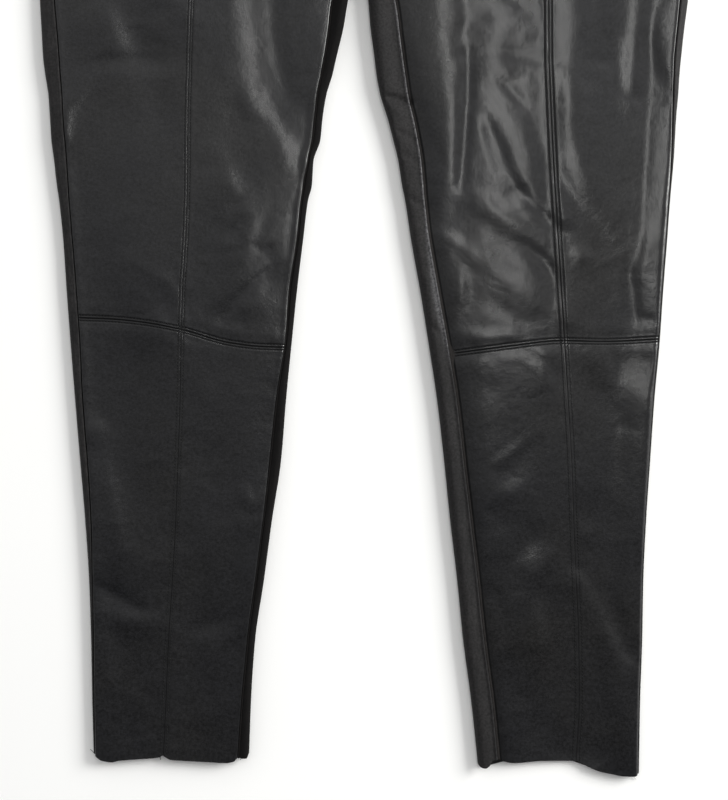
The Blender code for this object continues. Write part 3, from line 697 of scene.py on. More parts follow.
    def taut_lip_highlight(self, e, y):
        """How taut and smooth the knit is beside the inside seam, from 0 to 1; the knit's colour
        is painted lighter there as a highlight.
        """
        gap = e - self.length(y) + self.unroll(1, self.strip(1, y), y)
        slack = 0.12 + 0.88 * bell((y - 404.0) / 44.0)
        return (self.taut_lip_and_highlight * ease((y - 330.0) / 60.0) * ease((CROTCH - y) / 20.0)
                * bell((gap - 1.0 - 2.0 * slack) / (0.9 + 1.9 * slack)))

    def knee_line(self, x):
        k = self.knee_height
        across = np.clip(np.abs(x - self.outer_edge(k)) / self.width(k), 0.0, 1.0)
        return self.knee(across)

    def shift(self, row, x, layer):
        k = self.knee_height
        away = (self.knee_line(x) - k) * (1 - ease(np.abs(row - k) / KNEE_FADE))
        w = self.width(0.0)
        across = np.clip(np.abs(x - self.outer_edge(0.0)) / w, 0.0, 1.0)
        away = away + self.hem(across) * (1 - ease(row / HEM_FADE))
        return away + waist_shift(row, x, layer)


def waist_shift(row, x, layer):
    half = (RIGHT.outer_edge(BAND_LOW) - LEFT.outer_edge(BAND_LOW)) / -2 - 14.0
    off = np.minimum(np.abs(x - centre(row)) / half, 1.0)
    grow = ease((row - 770.0) / (BAND_LOW - 770.0))
    most = BACK_RISE if layer == "under" else -FRONT_DIP
    return most * grow * (1 - off * off)


# the right leg's front seam lies flatter, and flattest in its lower half
RIGHT_FRONT = Curve([-20, 120, 300, 372, 460, 700, 960], [0.16, 0.18, 0.25, 0.32, 0.36, 0.40, 0.8])
LEFT_FRONT = Curve([-20, 60, 160, 300, 380, 700, 960], [0.22, 0.24, 0.30, 0.45, 1.0, 1.0, 1.0])
# how much painted shade each leg's front seam grooves get, hem to waist
RIGHT_SHADE = Curve([-20, 300, 372, 460, 700, 960], [0.56, 0.58, 0.63, 0.67, 0.71, 0.8])
LEFT_SHADE = Curve([-20, 160, 300, 372, 450, 960], [0.58, 0.62, 0.72, 0.86, 1.0, 1.0])
RIGHT = Leg(-1, RIGHT_SECTIONS, RIGHT_KNEE, RIGHT_CUT, RIGHT_ROLLS, RIGHT_CREASES,
            RIGHT_FRONT, RIGHT_SHADE, 2.4, (0.72, 0.5),
            ((0.60, 0.10, 0.16, 0.0), (1.25, 0.0, 0.13, 0.0)), 0.85, 0.0, 11)
LEFT = Leg(1, LEFT_SECTIONS, LEFT_KNEE, LEFT_CUT, LEFT_ROLLS, LEFT_CREASES,
           LEFT_FRONT, LEFT_SHADE, 3.1, (0.85, 0.7),
           ((0.45, 0.30, 0.14, 0.0), (0.95, 0.75, 0.0, 1.2)), 0.0, 1.0, 23)
LEGS = {"right": RIGHT, "left": LEFT}


# ---- materials -------------------------------------------------------------
def nodes_of(name):
    made = bpy.data.materials.new(name)
    made.use_nodes = True
    tree = made.node_tree
    shader = tree.nodes["Principled BSDF"]

    def add(kind, **values):
        node = tree.nodes.new(kind)
        for key, value in values.items():
            if key in node.inputs.keys():
                node.inputs[key].default_value = value
            else:
                setattr(node, key, value)
        return node

    def link(a, out, b, into):
        tree.links.new(a.outputs[out], b.inputs[into])
    return made, tree, shader, add, link


def ramp_of(add, stops):
    node = add("ShaderNodeValToRGB")
    band = node.color_ramp
    band.elements[0].position, band.elements[0].color = stops[0]
    band.elements[1].position, band.elements[1].color = stops[-1]
    for position, colour in stops[1:-1]:
        band.elements.new(position).color = colour
    return node


def remap(add, low, high, to_low, to_high):
    node = add("ShaderNodeMapRange")
    for name, value in (("From Min", low), ("From Max", high), ("To Min", to_low),
                        ("To Max", to_high)):
        node.inputs[name].default_value = value
    return node


def paint_seam_shade(add, link, colour, out, into, dark):
    """Painted shade: the colour goes nearly black in the crevices where a seam is sunk."""
    deep = add("ShaderNodeAttribute", attribute_name="crevice")
    mix = add("ShaderNodeMixRGB", blend_type="MIX")
    mix.inputs["Color2"].default_value = dark
    link(deep, "Fac", mix, "Fac")
    link(colour, out, mix, "Color1")
    link(mix, "Color", into, "Base Color")
    return deep


def rougher_in_seams(add, link, deep, rough, most, into):
    mix = add("ShaderNodeMix")
    link(deep, "Fac", mix, 0)
    link(rough, "Result", mix, 2)
    mix.inputs[3].default_value = most
    link(mix, 0, into, "Roughness")


def leather_material():
    """Satin coated cloth: fine grain, uneven sheen, worn lighter on ridges, painted shade in
    seams.
    """
    made, tree, shader, add, link = nodes_of("faux_leather")
    place = add("ShaderNodeTexCoord")
    drift = add("ShaderNodeTexNoise", Scale=7.0, Detail=3.0, Roughness=0.55)
    link(place, "Object", drift, "Vector")
    tint = ramp_of(add, [(0.32, (0.0066, 0.0067, 0.0080, 1)),
                         (0.52, (0.0078, 0.0078, 0.0086, 1)),
                         (0.70, (0.0092, 0.0089, 0.0090, 1))])
    link(drift, "Fac", tint, "Fac")
    ridge = add("ShaderNodeAttribute", attribute_name="ridge")
    worn = remap(add, 0.8, 4.0, 0.0, 0.4)
    link(ridge, "Fac", worn, "Value")
    scuff = add("ShaderNodeMixRGB", blend_type="MIX")
    scuff.inputs["Color2"].default_value = (0.0125, 0.0122, 0.0116, 1)
    link(worn, "Result", scuff, "Fac")
    link(tint, "Color", scuff, "Color1")
    speck = add("ShaderNodeTexNoise", Scale=400.0, Detail=3.0, Roughness=0.7)
    link(place, "Object", speck, "Vector")
    pale = remap(add, 0.34, 0.66, 0.45, 1.55)
    link(speck, "Fac", pale, "Value")
    fleck = add("ShaderNodeMixRGB", blend_type="MULTIPLY")
    fleck.inputs["Fac"].default_value = 1.0
    link(scuff, "Color", fleck, "Color1")
    link(pale, "Result", fleck, "Color2")
    deep = paint_seam_shade(add, link, fleck, "Color", shader, (0.0035, 0.0035, 0.0038, 1))
    # sheen: broad uneven patches over the fine grain
    patch = add("ShaderNodeTexNoise", Scale=24.0, Detail=3.0, Roughness=0.55)
    link(place, "Object", patch, "Vector")
    gloss = remap(add, 0.3, 0.7, 0.232, 0.282)
    link(patch, "Fac", gloss, "Value")
    rougher_in_seams(add, link, deep, gloss, 0.30, shader)
    shader.inputs["Specular IOR Level"].default_value = 0.5
    # soft unevenness, wrinkled grain, and pebbles between pores
    mottle = add("ShaderNodeTexNoise", Scale=70.0, Detail=3.0, Roughness=0.55)
    link(place, "Object", mottle, "Vector")
    wrinkle = add("ShaderNodeTexNoise", Scale=270.0, Detail=2.0, Roughness=0.5)
    link(place, "Object", wrinkle, "Vector")
    cells = add("ShaderNodeTexVoronoi", feature="DISTANCE_TO_EDGE", Scale=520.0)
    link(place, "Object", cells, "Vector")
    pebble = remap(add, 0.0, 0.25, 0.0, 1.0)
    link(cells, "Distance", pebble, "Value")
    fine = add("ShaderNodeMath", operation="MULTIPLY_ADD")
    fine.inputs[1].default_value = 7.5
    link(wrinkle, "Fac", fine, 0)
    link(pebble, "Result", fine, 2)
    whole = add("ShaderNodeMath", operation="MULTIPLY_ADD")
    whole.inputs[1].default_value = 14.0
    link(mottle, "Fac", whole, 0)
    link(fine, "Value", whole, 2)
    bump = add("ShaderNodeBump")
    bump.inputs["Strength"].default_value = 1.0
    bump.inputs["Distance"].default_value = 0.000014
    link(whole, "Value", bump, "Height")
    link(bump, "Normal", shader, "Normal")
    return made


def knit_material(name, low, high, gloss):
    """Heavy stretch knit: matte, slightly fuzzy, fine upright ribs, with painted shade in seams
    and a painted highlight on its taut lip.
    """
    made, tree, shader, add, link = nodes_of(name)
    place = add("ShaderNodeTexCoord")
    drift = add("ShaderNodeTexNoise", Scale=30.0, Detail=4.0, Roughness=0.6)
    link(place, "Object", drift, "Vector")
    tint = ramp_of(add, [(0.30, low), (0.70, high)])
    link(drift, "Fac", tint, "Fac")
    # painted highlight: a pale grey along the taut lip beside the inside seam, which is also
    # smoother
    taut_lip_highlight = add("ShaderNodeAttribute", attribute_name="ridge")
    painted_lip_highlight = add("ShaderNodeMixRGB", blend_type="MIX")
    painted_lip_highlight.inputs["Color2"].default_value = (0.062, 0.061, 0.064, 1)
    link(taut_lip_highlight, "Fac", painted_lip_highlight, "Fac")
    link(tint, "Color", painted_lip_highlight, "Color1")
    fuzz = add("ShaderNodeTexNoise", Scale=1500.0, Detail=2.0, Roughness=0.7)
    link(place, "Object", fuzz, "Vector")
    nub = add("ShaderNodeTexNoise", Scale=480.0, Detail=2.0, Roughness=0.7)
    link(place, "Object", nub, "Vector")
    pale = remap(add, 0.34, 0.66, 0.35, 1.75)
    link(nub, "Fac", pale, "Value")
    fleck = add("ShaderNodeMixRGB", blend_type="MULTIPLY")
    fleck.inputs["Fac"].default_value = 1.0
    link(painted_lip_highlight, "Color", fleck, "Color1")
    link(pale, "Result", fleck, "Color2")
    deep = paint_seam_shade(add, link, fleck, "Color", shader, (0.0040, 0.0038, 0.0040, 1))
    nap = remap(add, 0.0, 1.0, 0.64, 0.34)
    link(taut_lip_highlight, "Fac", nap, "Value")
    rougher_in_seams(add, link, deep, nap, 0.92, shader)
    shader.inputs["Specular IOR Level"].default_value = gloss
    shader.inputs["Sheen Weight"].default_value = 0.0
    shader.inputs["Sheen Roughness"].default_value = 0.55
    shader.inputs["Sheen Tint"].default_value = (0.75, 0.72, 0.72, 1)
    ribs = add("ShaderNodeTexWave", wave_type="BANDS", bands_direction="X",
               Scale=290.0, Distortion=1.2, Detail=1.0)
    link(place, "Object", ribs, "Vector")
    loops = add("ShaderNodeTexWave", wave_type="BANDS", bands_direction="Y",
                Scale=340.0, Distortion=1.6, Detail=1.0)
    link(place, "Object", loops, "Vector")
    knit = add("ShaderNodeMath", operation="MULTIPLY")
    link(ribs, "Fac", knit, 0)
    link(loops, "Fac", knit, 1)
    both = add("ShaderNodeMath", operation="MULTIPLY_ADD")
    both.inputs[1].default_value = 0.8
    link(fuzz, "Fac", both, 0)
    link(knit, "Value", both, 2)
    bump = add("ShaderNodeBump")
    bump.inputs["Strength"].default_value = 0.6
    bump.inputs["Distance"].default_value = 0.0003
    link(both, "Value", bump, "Height")
    link(bump, "Normal", shader, "Normal")
    return made


def seam_shade_material():
    """Painted shade for coated cloth deep in a stitched seam: matte and nearly black."""
    made, tree, shader, add, link = nodes_of("leather_painted_seam_shade")
    place = add("ShaderNodeTexCoord")
    shade_speckle = add("ShaderNodeTexNoise", Scale=700.0, Detail=2.0, Roughness=0.6)
    link(place, "Object", shade_speckle, "Vector")
    tint = ramp_of(add, [(0.30, (0.0022, 0.0022, 0.0024, 1)),
                         (0.70, (0.0056, 0.0056, 0.0060, 1))])
    link(shade_speckle, "Fac", tint, "Fac")
    link(tint, "Color", shader, "Base Color")
    shader.inputs["Roughness"].default_value = 0.5
    shader.inputs["Specular IOR Level"].default_value = 0.17
    bump = add("ShaderNodeBump")
    bump.inputs["Strength"].default_value = 0.5
    bump.inputs["Distance"].default_value = 0.00004
    link(shade_speckle, "Fac", bump, "Height")
    link(bump, "Normal", shader, "Normal")
    return made


def backing_material():
    """Inside of the coated cloth and its raw cut edge: brushed dark jersey."""
    made, tree, shader, add, link = nodes_of("leather_backing")
    place = add("ShaderNodeTexCoord")
    fuzz = add("ShaderNodeTexNoise", Scale=1100.0, Detail=3.0, Roughness=0.7)
    link(place, "Object", fuzz, "Vector")
    tint = ramp_of(add, [(0.30, (0.012, 0.011, 0.011, 1)),
                         (0.70, (0.030, 0.027, 0.026, 1))])
    link(fuzz, "Fac", tint, "Fac")
    link(tint, "Color", shader, "Base Color")
    shader.inputs["Roughness"].default_value = 0.95
    shader.inputs["Specular IOR Level"].default_value = 0.2
    bump = add("ShaderNodeBump")
    bump.inputs["Strength"].default_value = 0.6
    bump.inputs["Distance"].default_value = 0.0002
    link(fuzz, "Fac", bump, "Height")
    link(bump, "Normal", shader, "Normal")
    return made


def thread_material(name, low, high):
    """Twisted sewing thread."""
    made, tree, shader, add, link = nodes_of(name)
    place = add("ShaderNodeTexCoord")
    twist = add("ShaderNodeTexWave", wave_type="BANDS", bands_direction="DIAGONAL",
                Scale=900.0, Distortion=0.6)
    link(place, "Object", twist, "Vector")
    tint = ramp_of(add, [(0.2, low), (0.8, high)])
    link(twist, "Fac", tint, "Fac")
    link(tint, "Color", shader, "Base Color")
    shader.inputs["Roughness"].default_value = 0.72
    shader.inputs["Specular IOR Level"].default_value = 0.12
    bump = add("ShaderNodeBump")
    bump.inputs["Strength"].default_value = 0.4
    bump.inputs["Distance"].default_value = 0.00008
    link(twist, "Fac", bump, "Height")
    link(bump, "Normal", shader, "Normal")
    return made


LEATHER_MAT = leather_material()
SEAM_SHADE_MAT = seam_shade_material()
KNIT_MAT = knit_material("stretch_knit", (0.0060, 0.0056, 0.0060, 1),
                         (0.0104, 0.0096, 0.0099, 1), 0.23)
# painted shade: the knit in seam crevices and on the shaded inner strip
KNIT_SHADE = knit_material("stretch_knit_painted_shade", (0.0056, 0.0047, 0.0040, 1),
                           (0.0125, 0.0108, 0.0094, 1), 0.10)
BACKING_MAT = backing_material()
# each piece's third material is painted shade for its faces deep in a seam
COATED = (LEATHER_MAT, BACKING_MAT, SEAM_SHADE_MAT)
KNITTED = (KNIT_MAT, KNIT_MAT, KNIT_SHADE)
THREAD_MAT = thread_material("thread_black", (0.009, 0.009, 0.0096, 1),
                             (0.019, 0.019, 0.0198, 1))
PALE_THREAD_MAT = thread_material("thread_pale", (0.30, 0.29, 0.27, 1), (0.48, 0.47, 0.44, 1))


# ---- building shells -------------------------------------------------------
def to_metres(x, y, z):
    return np.stack([(x - X_MID) * MM, (y - Y_MID) * MM, z * MM], -1)


def normals_of(p):
    """Unit normals of a grid of points, on one side all over."""
    n = np.cross(np.gradient(p, axis=1), np.gradient(p, axis=0))
    return n / np.maximum(np.linalg.norm(n, axis=-1, keepdims=True), 1e-12)


def make_mesh(name, points, faces, kinds, materials, sharp=62.0):
    mesh = bpy.data.meshes.new(name)
    mesh.vertices.add(len(points))
    mesh.vertices.foreach_set("co", points.astype(np.float32).reshape(-1))
    mesh.loops.add(faces.size)
    mesh.loops.foreach_set("vertex_index", faces.astype(np.int32).reshape(-1))
    mesh.polygons.add(len(faces))
    mesh.polygons.foreach_set(
        "loop_start", np.arange(0, faces.size, faces.shape[1], dtype=np.int32))
    mesh.polygons.foreach_set("material_index", kinds.astype(np.int32))
    mesh.update(calc_edges=True)
    for material in materials:
        mesh.materials.append(material)
    mesh.shade_smooth()
    mesh.set_sharp_from_angle(angle=math.radians(sharp))
    piece = bpy.data.objects.new(name, mesh)
    bpy.context.scene.collection.objects.link(piece)
    return piece


def shell(name, skin, smooth, upright, wall, cloth, ridge, deep, missing=None):
    """Closed thin shell between a skin grid and its inward offset.

    upright is a place (row, column) where the skin faces up. cloth holds the
    materials of the face, the inside, and the painted shade of faces deep in a seam.
    """
    nr, nc = skin.shape[:2]
    cells = np.ones((nr - 1, nc - 1), bool) if missing is None else ~missing
    n = normals_of(smooth)
    if n[upright][2] < 0:
        n = -n
    inner = smooth - wall * MM * n
    index = np.arange(nr * nc).reshape(nr, nc)
    a, b = index[:-1, :-1][cells], index[:-1, 1:][cells]
    c, d = index[1:, 1:][cells], index[1:, :-1][cells]
    outer_faces = np.stack([a, b, c, d], -1)
    inner_faces = outer_faces[:, ::-1] + nr * nc
    edges = np.concatenate([np.stack(p, -1) for p in ((a, b), (b, c), (c, d), (d, a))])
    key = edges[:, 0].astype(np.int64) * (nr * nc) + edges[:, 1]
    back = edges[:, 1].astype(np.int64) * (nr * nc) + edges[:, 0]
    rim = edges[~np.isin(key, back)]
    rim_faces = np.stack([rim[:, 1], rim[:, 0], rim[:, 0] + nr * nc,
                          rim[:, 1] + nr * nc], -1)
    faces = np.concatenate([outer_faces, inner_faces, rim_faces])
    points = np.concatenate([skin.reshape(-1, 3), inner.reshape(-1, 3)])
    q = points[index[upright]], points[index[upright] + 1], points[index[upright] + nc]
    if np.cross(q[1] - q[0], q[2] - q[0])[2] < 0:
        faces = faces[:, ::-1]
    # faces deep in a seam take the third material, the painted shade
    kinds = np.ones(len(faces), int)
    kinds[:len(outer_faces)] = np.where(
        deep.reshape(-1)[outer_faces].mean(1) > 0.5, 2, 0)
    used = np.zeros(len(points), bool)
    used[faces.reshape(-1)] = True
    renumber = np.cumsum(used) - 1
    piece = make_mesh(name, points[used], renumber[faces], kinds, cloth)
    for label, values in (("ridge", ridge), ("crevice", deep)):
        both = np.concatenate([values.reshape(-1), np.zeros(nr * nc)])
        piece.data.attributes.new(label, "FLOAT", "POINT").data.foreach_set(
            "value", both[used].astype(np.float32))
    area = float(np.linalg.norm(np.cross(smooth[1:, 1:] - smooth[:-1, :-1],
                                         smooth[1:, :-1] - smooth[:-1, 1:]),
                                axis=-1)[cells].sum() / 2)
    return piece, area


# offsets from a seam, close together where its ditch, welt and stitch row are
NEAR_SEAM = np.array([0.06, 0.35, 0.7, 1.1, 1.5, 1.9, 2.35, 2.75, 3.1, 3.5, 4.0, 4.8,
                      6.0, 7.6])
GRID = 2.1


def steps_between(a, b, step):
    count = max(int(round((b - a) / step)), 1)
    return list(np.linspace(a, b, count + 1)[1:-1])


def rows_for(low, high, step):
    """Row heights, close together at a hem, the knee seam and the band."""
    start, stop = list(low + NEAR_SEAM), list(high - NEAR_SEAM[::-1])
    if low < CROTCH < high:
        mid = list(np.arange(CROTCH - 18.0, CROTCH + 18.5, 1.0))
        marks = (steps_between(start[-1], mid[0], step) + mid
                 + steps_between(mid[-1], stop[0], step * 1.6))
    else:
        marks = steps_between(start[-1], stop[0], step)
    return np.array(start + marks + stop)


def between_seams(width, step):
    """Columns between two seams: weights of the first and second, and offset."""
    count = max(int((width - 2 * NEAR_SEAM[-1]) / step), 2)
    q = np.linspace(0, 1, count + 1)[1:-1]
    last = NEAR_SEAM[-1]
    first = np.concatenate([np.ones(len(NEAR_SEAM)), 1 - q, np.zeros(len(NEAR_SEAM))])
    offset = np.concatenate([NEAR_SEAM, last * (1 - 2 * q), -NEAR_SEAM[::-1]])
    return first, 1 - first, offset


def settle(leg, rows, layer, lengths):
    """Heights and skin lengths of a grid of rows, moved to hem, knee and waist."""
    y = rows + 0.0
    for _ in range(4):
        x = leg.x(leg.across(lengths(y), y), y)
        y = rows + leg.shift(rows, x, layer)
    return y, lengths(y)


def front_panel(node, leg, part, low, high):
    rows = rows_for(low, high, GRID)
    span = (86.0 if part == "outer" else 100.0) * (1.0 if high > 500 else 0.8)
    first, second, offset = (v[None, :] for v in between_seams(span, GRID))
    rows = np.repeat(rows[:, None], first.shape[1], 1)

    def lengths(y):
        e_mid = leg.seam(y)
        if part == "outer":
            a, b = leg.unroll(0, leg.strip(0, y), y), e_mid
        else:
            a, b = e_mid, leg.length(y) - leg.unroll(1, leg.strip(1, y), y)
        return first * a + second * b + offset

    y, e = settle(leg, rows, "top", lengths)
    x, z, nx, nz, seams, deep, folds = leg.skin(e, y)
    smooth = to_metres(x, y, z)
    skin = to_metres(x + nx * seams, y, z + nz * seams)
    upright = (rows.shape[0] // 2, rows.shape[1] // 2)
    piece, area = shell("cloth_" + node, skin, smooth, upright, LEATHER, COATED,
                        folds, deep)
    return piece, area, (float((e[:, -1] - e[:, 0]).max()) * MM,
                         float((y[-1] - y[0]).max()) * MM)


STRIP_STEPS = 21
ARC_STEPS = 8


def knit_strip(leg, inside, rows):
    """Columns from a side seam down to the fold's edge."""
    p = (np.arange(STRIP_STEPS + 1) / STRIP_STEPS) ** 1.6
    rows = np.repeat(rows[:, None], len(p), 1)

    def lengths(y):
        whole = leg.length(y)
        if inside:
            e = leg.unroll(1, leg.strip(1, y), y)
            return whole - np.maximum(e - 0.06, 0.0) * (1 - p)[None, :]
        e = leg.unroll(0, leg.strip(0, y), y)
        return np.maximum(e - 0.06, 0.0) * (1 - p)[None, :]

    y, e = settle(leg, rows, "top", lengths)
    x, z, nx, nz, seams, deep, _ = leg.skin(e, y)
    taut_lip_highlight = leg.taut_lip_highlight(e, y) if inside else np.zeros_like(e)
    return (to_metres(x, y, z), to_metres(x + nx * seams, y, z + nz * seams),
            np.stack([deep, taut_lip_highlight], -1), e)


def knit_under(leg, inside, rows, turns):
    """Columns of the lower half of a side fold, from its edge to the ground."""
    t = (np.arange(1, turns + 1) / turns * np.pi / 2)[None, :]
    rows = np.repeat(rows[:, None], turns, 1)
    y = rows + 0.0
    for _ in range(5):
        reach = leg.reach(inside, y)
        edge = leg.inner(y) if inside else leg.outer_edge(y)
        out = -leg.side if inside else leg.side
        x = edge - out * reach * (1 - np.cos(t))
        y = rows + leg.shift(rows, x, "under")
    z = leg.middle(inside, y) * (1 - np.sin(t))
    return to_metres(x, y, z)


def knit_flat(leg, rows, parts):
    q = (np.arange(1, parts) / parts)[None, :]
    rows = np.repeat(rows[:, None], parts - 1, 1)
    y = rows + 0.0
    for _ in range(5):
        a, b = leg.reach(0, y), leg.width(y) - leg.reach(1, y)
        x = leg.x(a + (b - a) * q, y)
        y = rows + leg.shift(rows, x, "under")
    return to_metres(x, y, np.zeros_like(x))


def back_leg(node, leg):
    rows = rows_for(0.0, BAND_LOW, GRID * 1.2)
    smooth, skin, deep = [], [], []

    def put(s, k=None, d=None):
        smooth.append(s)
        skin.append(s if k is None else k)
        deep.append(np.zeros((*s.shape[:2], 2)) if d is None else d)

    s, k, d, e_out = knit_strip(leg, 0, rows)
    put(s, k, d)
    put(knit_under(leg, 0, rows, ARC_STEPS))
    put(knit_flat(leg, rows, 7))
    first = sum(part.shape[1] for part in smooth)
    put(knit_under(leg, 1, rows, ARC_STEPS)[:, ::-1])
    s, k, d, e_in = knit_strip(leg, 1, rows)
    put(s[:, ::-1], k[:, ::-1], d[:, ::-1])
    smooth, skin, deep = (np.concatenate(v, 1) for v in (smooth, skin, deep))
    missing = np.zeros((smooth.shape[0] - 1, smooth.shape[1] - 1), bool)
    missing[rows[1:] > CROTCH + 0.5, first:] = True
    up = (rows.searchsorted(500.0), 3)
    piece, area = shell("cloth_" + node, skin, smooth, up, KNIT, KNITTED,
                        deep[..., 1], deep[..., 0], missing)
    across = float((e_out[:, 0] + leg.width(rows) + 4.0).max()) + float(
        (leg.length(rows) - e_in[:, 0]).max())
    return piece, area, (across * MM, (BAND_LOW + BACK_RISE) * MM)


def band_rows():
    middle = steps_between(BAND_LOW + NEAR_SEAM[-1], BAND_TOP - 3.0, 2.4)
    return np.concatenate([BAND_LOW + NEAR_SEAM, middle, BAND_TOP - NEAR_SEAM[7::-1]])


def waistband_front(node):
    rows = band_rows()
    p = np.linspace(0, 1, 76)[1:]
    weight = np.concatenate([np.ones(len(NEAR_SEAM)), 1 - p])[None, :]
    offset = np.concatenate([NEAR_SEAM, NEAR_SEAM[-1] * (1 - p)])[None, :]
    grids = []
    for leg in (RIGHT, LEFT):
        def lengths(y, leg=leg):
            a = leg.unroll(0, leg.strip(0, y), y)
            return weight * a + (1 - weight) * leg.length(y) + offset

        grid_rows = np.repeat(rows[:, None], weight.shape[1], 1)
        y, e = settle(leg, grid_rows, "top", lengths)
        x, z, nx, nz, seams, deep, folds = leg.skin(e, y)
        grids.append([to_metres(x, y, z), to_metres(x + nx * seams, y, z + nz * seams),
                      folds, deep])
    smooth, skin, ridge, deep = (np.concatenate([a, b[:, ::-1][:, 1:]], 1)
                                 for a, b in zip(*grids))
    up = (len(rows) // 2, 40)
    piece, area = shell("cloth_" + node, skin, smooth, up, LEATHER, COATED,
                        ridge, deep)
    wide = float(np.abs(smooth[0, -1, 0] - smooth[0, 0, 0]))
    return piece, area, (wide + 0.012, (BAND_TOP - BAND_LOW) * MM + 0.002)


def waistband_back(node):
    rows = band_rows()
    smooth, skin, deep = [], [], []

    def put(s, k=None, d=None):
        smooth.append(s)
        skin.append(s if k is None else k)
        deep.append(np.zeros((*s.shape[:2], 2)) if d is None else d)

    s, k, d, _ = knit_strip(RIGHT, 0, rows)
    put(s, k, d)
    put(knit_under(RIGHT, 0, rows, ARC_STEPS))
    far = knit_under(LEFT, 0, rows, ARC_STEPS)
    q = (np.arange(1, 24) / 24)[None, :]
    middle = smooth[-1][:, -1:, :] * (1 - q[..., None]) + far[:, -1:, :] * q[..., None]
    x = middle[..., 0] / MM + X_MID
    grid_rows = np.repeat(rows[:, None], q.shape[1], 1)
    put(to_metres(x, grid_rows + waist_shift(grid_rows, x, "under"), np.zeros_like(x)))
    put(far[:, ::-1])
    s, k, d, _ = knit_strip(LEFT, 0, rows)
    put(s[:, ::-1], k[:, ::-1], d[:, ::-1])
    smooth, skin, deep = (np.concatenate(v, 1) for v in (smooth, skin, deep))
    piece, area = shell("cloth_" + node, skin, smooth, (len(rows) // 2, 3), KNIT,
                        KNITTED, deep[..., 1], deep[..., 0])
    wide = float(np.linalg.norm(np.diff(smooth[0], axis=0), axis=-1).sum())
    return piece, area, (wide + 0.004, (BAND_TOP - BAND_LOW) * MM + 0.003)


# ---- stitches --------------------------------------------------------------
PITCH = 2.8
THREAD = 0.58
# along the stitch, height over the groove, and thickness, as parts of it
STITCH_SHAPE = np.array([(-0.50, -0.55, 0.35), (-0.42, -0.10, 0.85), (-0.24, 0.42, 1.0),
                         (0.0, 0.55, 1.0), (0.24, 0.42, 1.0), (0.42, -0.10, 0.85),
                         (0.50, -0.55, 0.35)])


def on_skin(leg, e, y, lift):
    x, z, nx, nz, seams, _, _ = leg.skin(e, y)
    h = seams + lift
    return np.stack([x + nx * h, y, z + nz * h], -1), np.stack(
        [nx, np.zeros_like(nx), nz], -1)


def stitch_places(leg, rng):
    """Middles, directions and normals of every stitch of a leg."""
    middles, along, normals = [], [], []

    def take(e_of, y_of, count, low, high):
        t = low + (np.arange(count) + 0.5) * (high - low) / count
        t = t + rng.uniform(-0.12, 0.12, count)
        p, n = on_skin(leg, e_of(t), y_of(t), 0.0)
        before, _ = on_skin(leg, e_of(t - 0.9), y_of(t - 0.9), 0.0)
        after, _ = on_skin(leg, e_of(t + 0.9), y_of(t + 0.9), 0.0)
        middles.append(p)
        along.append(after - before)
        normals.append(n)

    for side in (-1, 1):
        x = leg.front_seam(np.array(0.0)) + side * leg.stitch_row * -leg.side
        low = float(leg.shift(np.array(0.0), x, "top")) + 0.6
        high = BAND_LOW - FRONT_DIP * 0.4 - 3.0
        take(lambda t: leg.seam(t) + side * leg.stitch_row, lambda t: t,
             int((high - low) / PITCH), low, high)
    k = leg.knee_height
    e_a = float(leg.unroll(0, leg.strip(0, np.array(k)), np.array(k))) + 1.2
    e_b = float(leg.length(np.array(k)) - leg.unroll(1, leg.strip(1, np.array(k)),
                                                     np.array(k))) - 1.2
    for side in (-1, 1):
        def height(t):
            y = np.full_like(t, k)
            for _ in range(4):
                y = leg.knee_line(leg.x(leg.across(t, y), y)) + side * KNEE_ROW
            return y
        take(lambda t: t, height, int((e_b - e_a) / PITCH), e_a, e_b)
    return (np.concatenate(v) for v in (middles, along, normals))


def stitches(name, leg, seed):
    rng = np.random.RandomState(seed)
    p, d, n = stitch_places(leg, rng)
    d = d / np.linalg.norm(d, axis=-1, keepdims=True)
    s = np.cross(n, d)
    s = s / np.linalg.norm(s, axis=-1, keepdims=True)
    n = np.cross(d, s)
    lean = rng.uniform(-0.06, 0.06, len(p))[:, None]
    d = d + s * lean
    long = (0.78 * PITCH * rng.uniform(0.93, 1.05, len(p)))[:, None, None, None]
    sides = 6
    turn = np.arange(sides) / sides * 2 * np.pi
    a, h, r = STITCH_SHAPE.T
    r = r * THREAD / 2
    ring = (a[None, :, None, None] * long * d[:, None, None, :]
            + (h[None, :, None, None] * THREAD + r[None, :, None, None]
               * np.sin(turn)[None, None, :, None]) * n[:, None, None, :]
            + r[None, :, None, None] * np.cos(turn)[None, None, :, None]
            * s[:, None, None, :])
    points = p[:, None, None, :] + ring
    count, rings = points.shape[:2]
    return tubes(name, points.reshape(-1, 3), count, rings, sides, THREAD_MAT)


def tubes(name, points, count, rings, sides, material):
    """Many closed tubes as one mesh, from rings of points in mm."""
    k = np.arange(sides)
    base = (np.arange(count)[:, None, None] * rings
            + np.arange(rings - 1)[None, :, None]) * sides
    a = base + k
    b = base + (k + 1) % sides
    quads = np.stack([a, b, b + sides, a + sides], -1).reshape(-1, 4)
    first = np.arange(count)[:, None] * rings * sides
    last = first + (rings - 1) * sides
    half = sides // 2
    caps = []
    for start, flip in ((first, True), (last, False)):
        for j in range(half - 1):
            cap = np.concatenate([start + j, start + j + 1, start + sides - 2 - j,
                                  start + sides - 1 - j], 1)
            caps.append(cap[:, ::-1] if flip else cap)
    faces = np.concatenate([quads] + caps)
    points = points - np.array([X_MID, Y_MID, 0.0])
    return make_mesh(name, points * MM, faces, np.zeros(len(faces), int), (material,), 80)


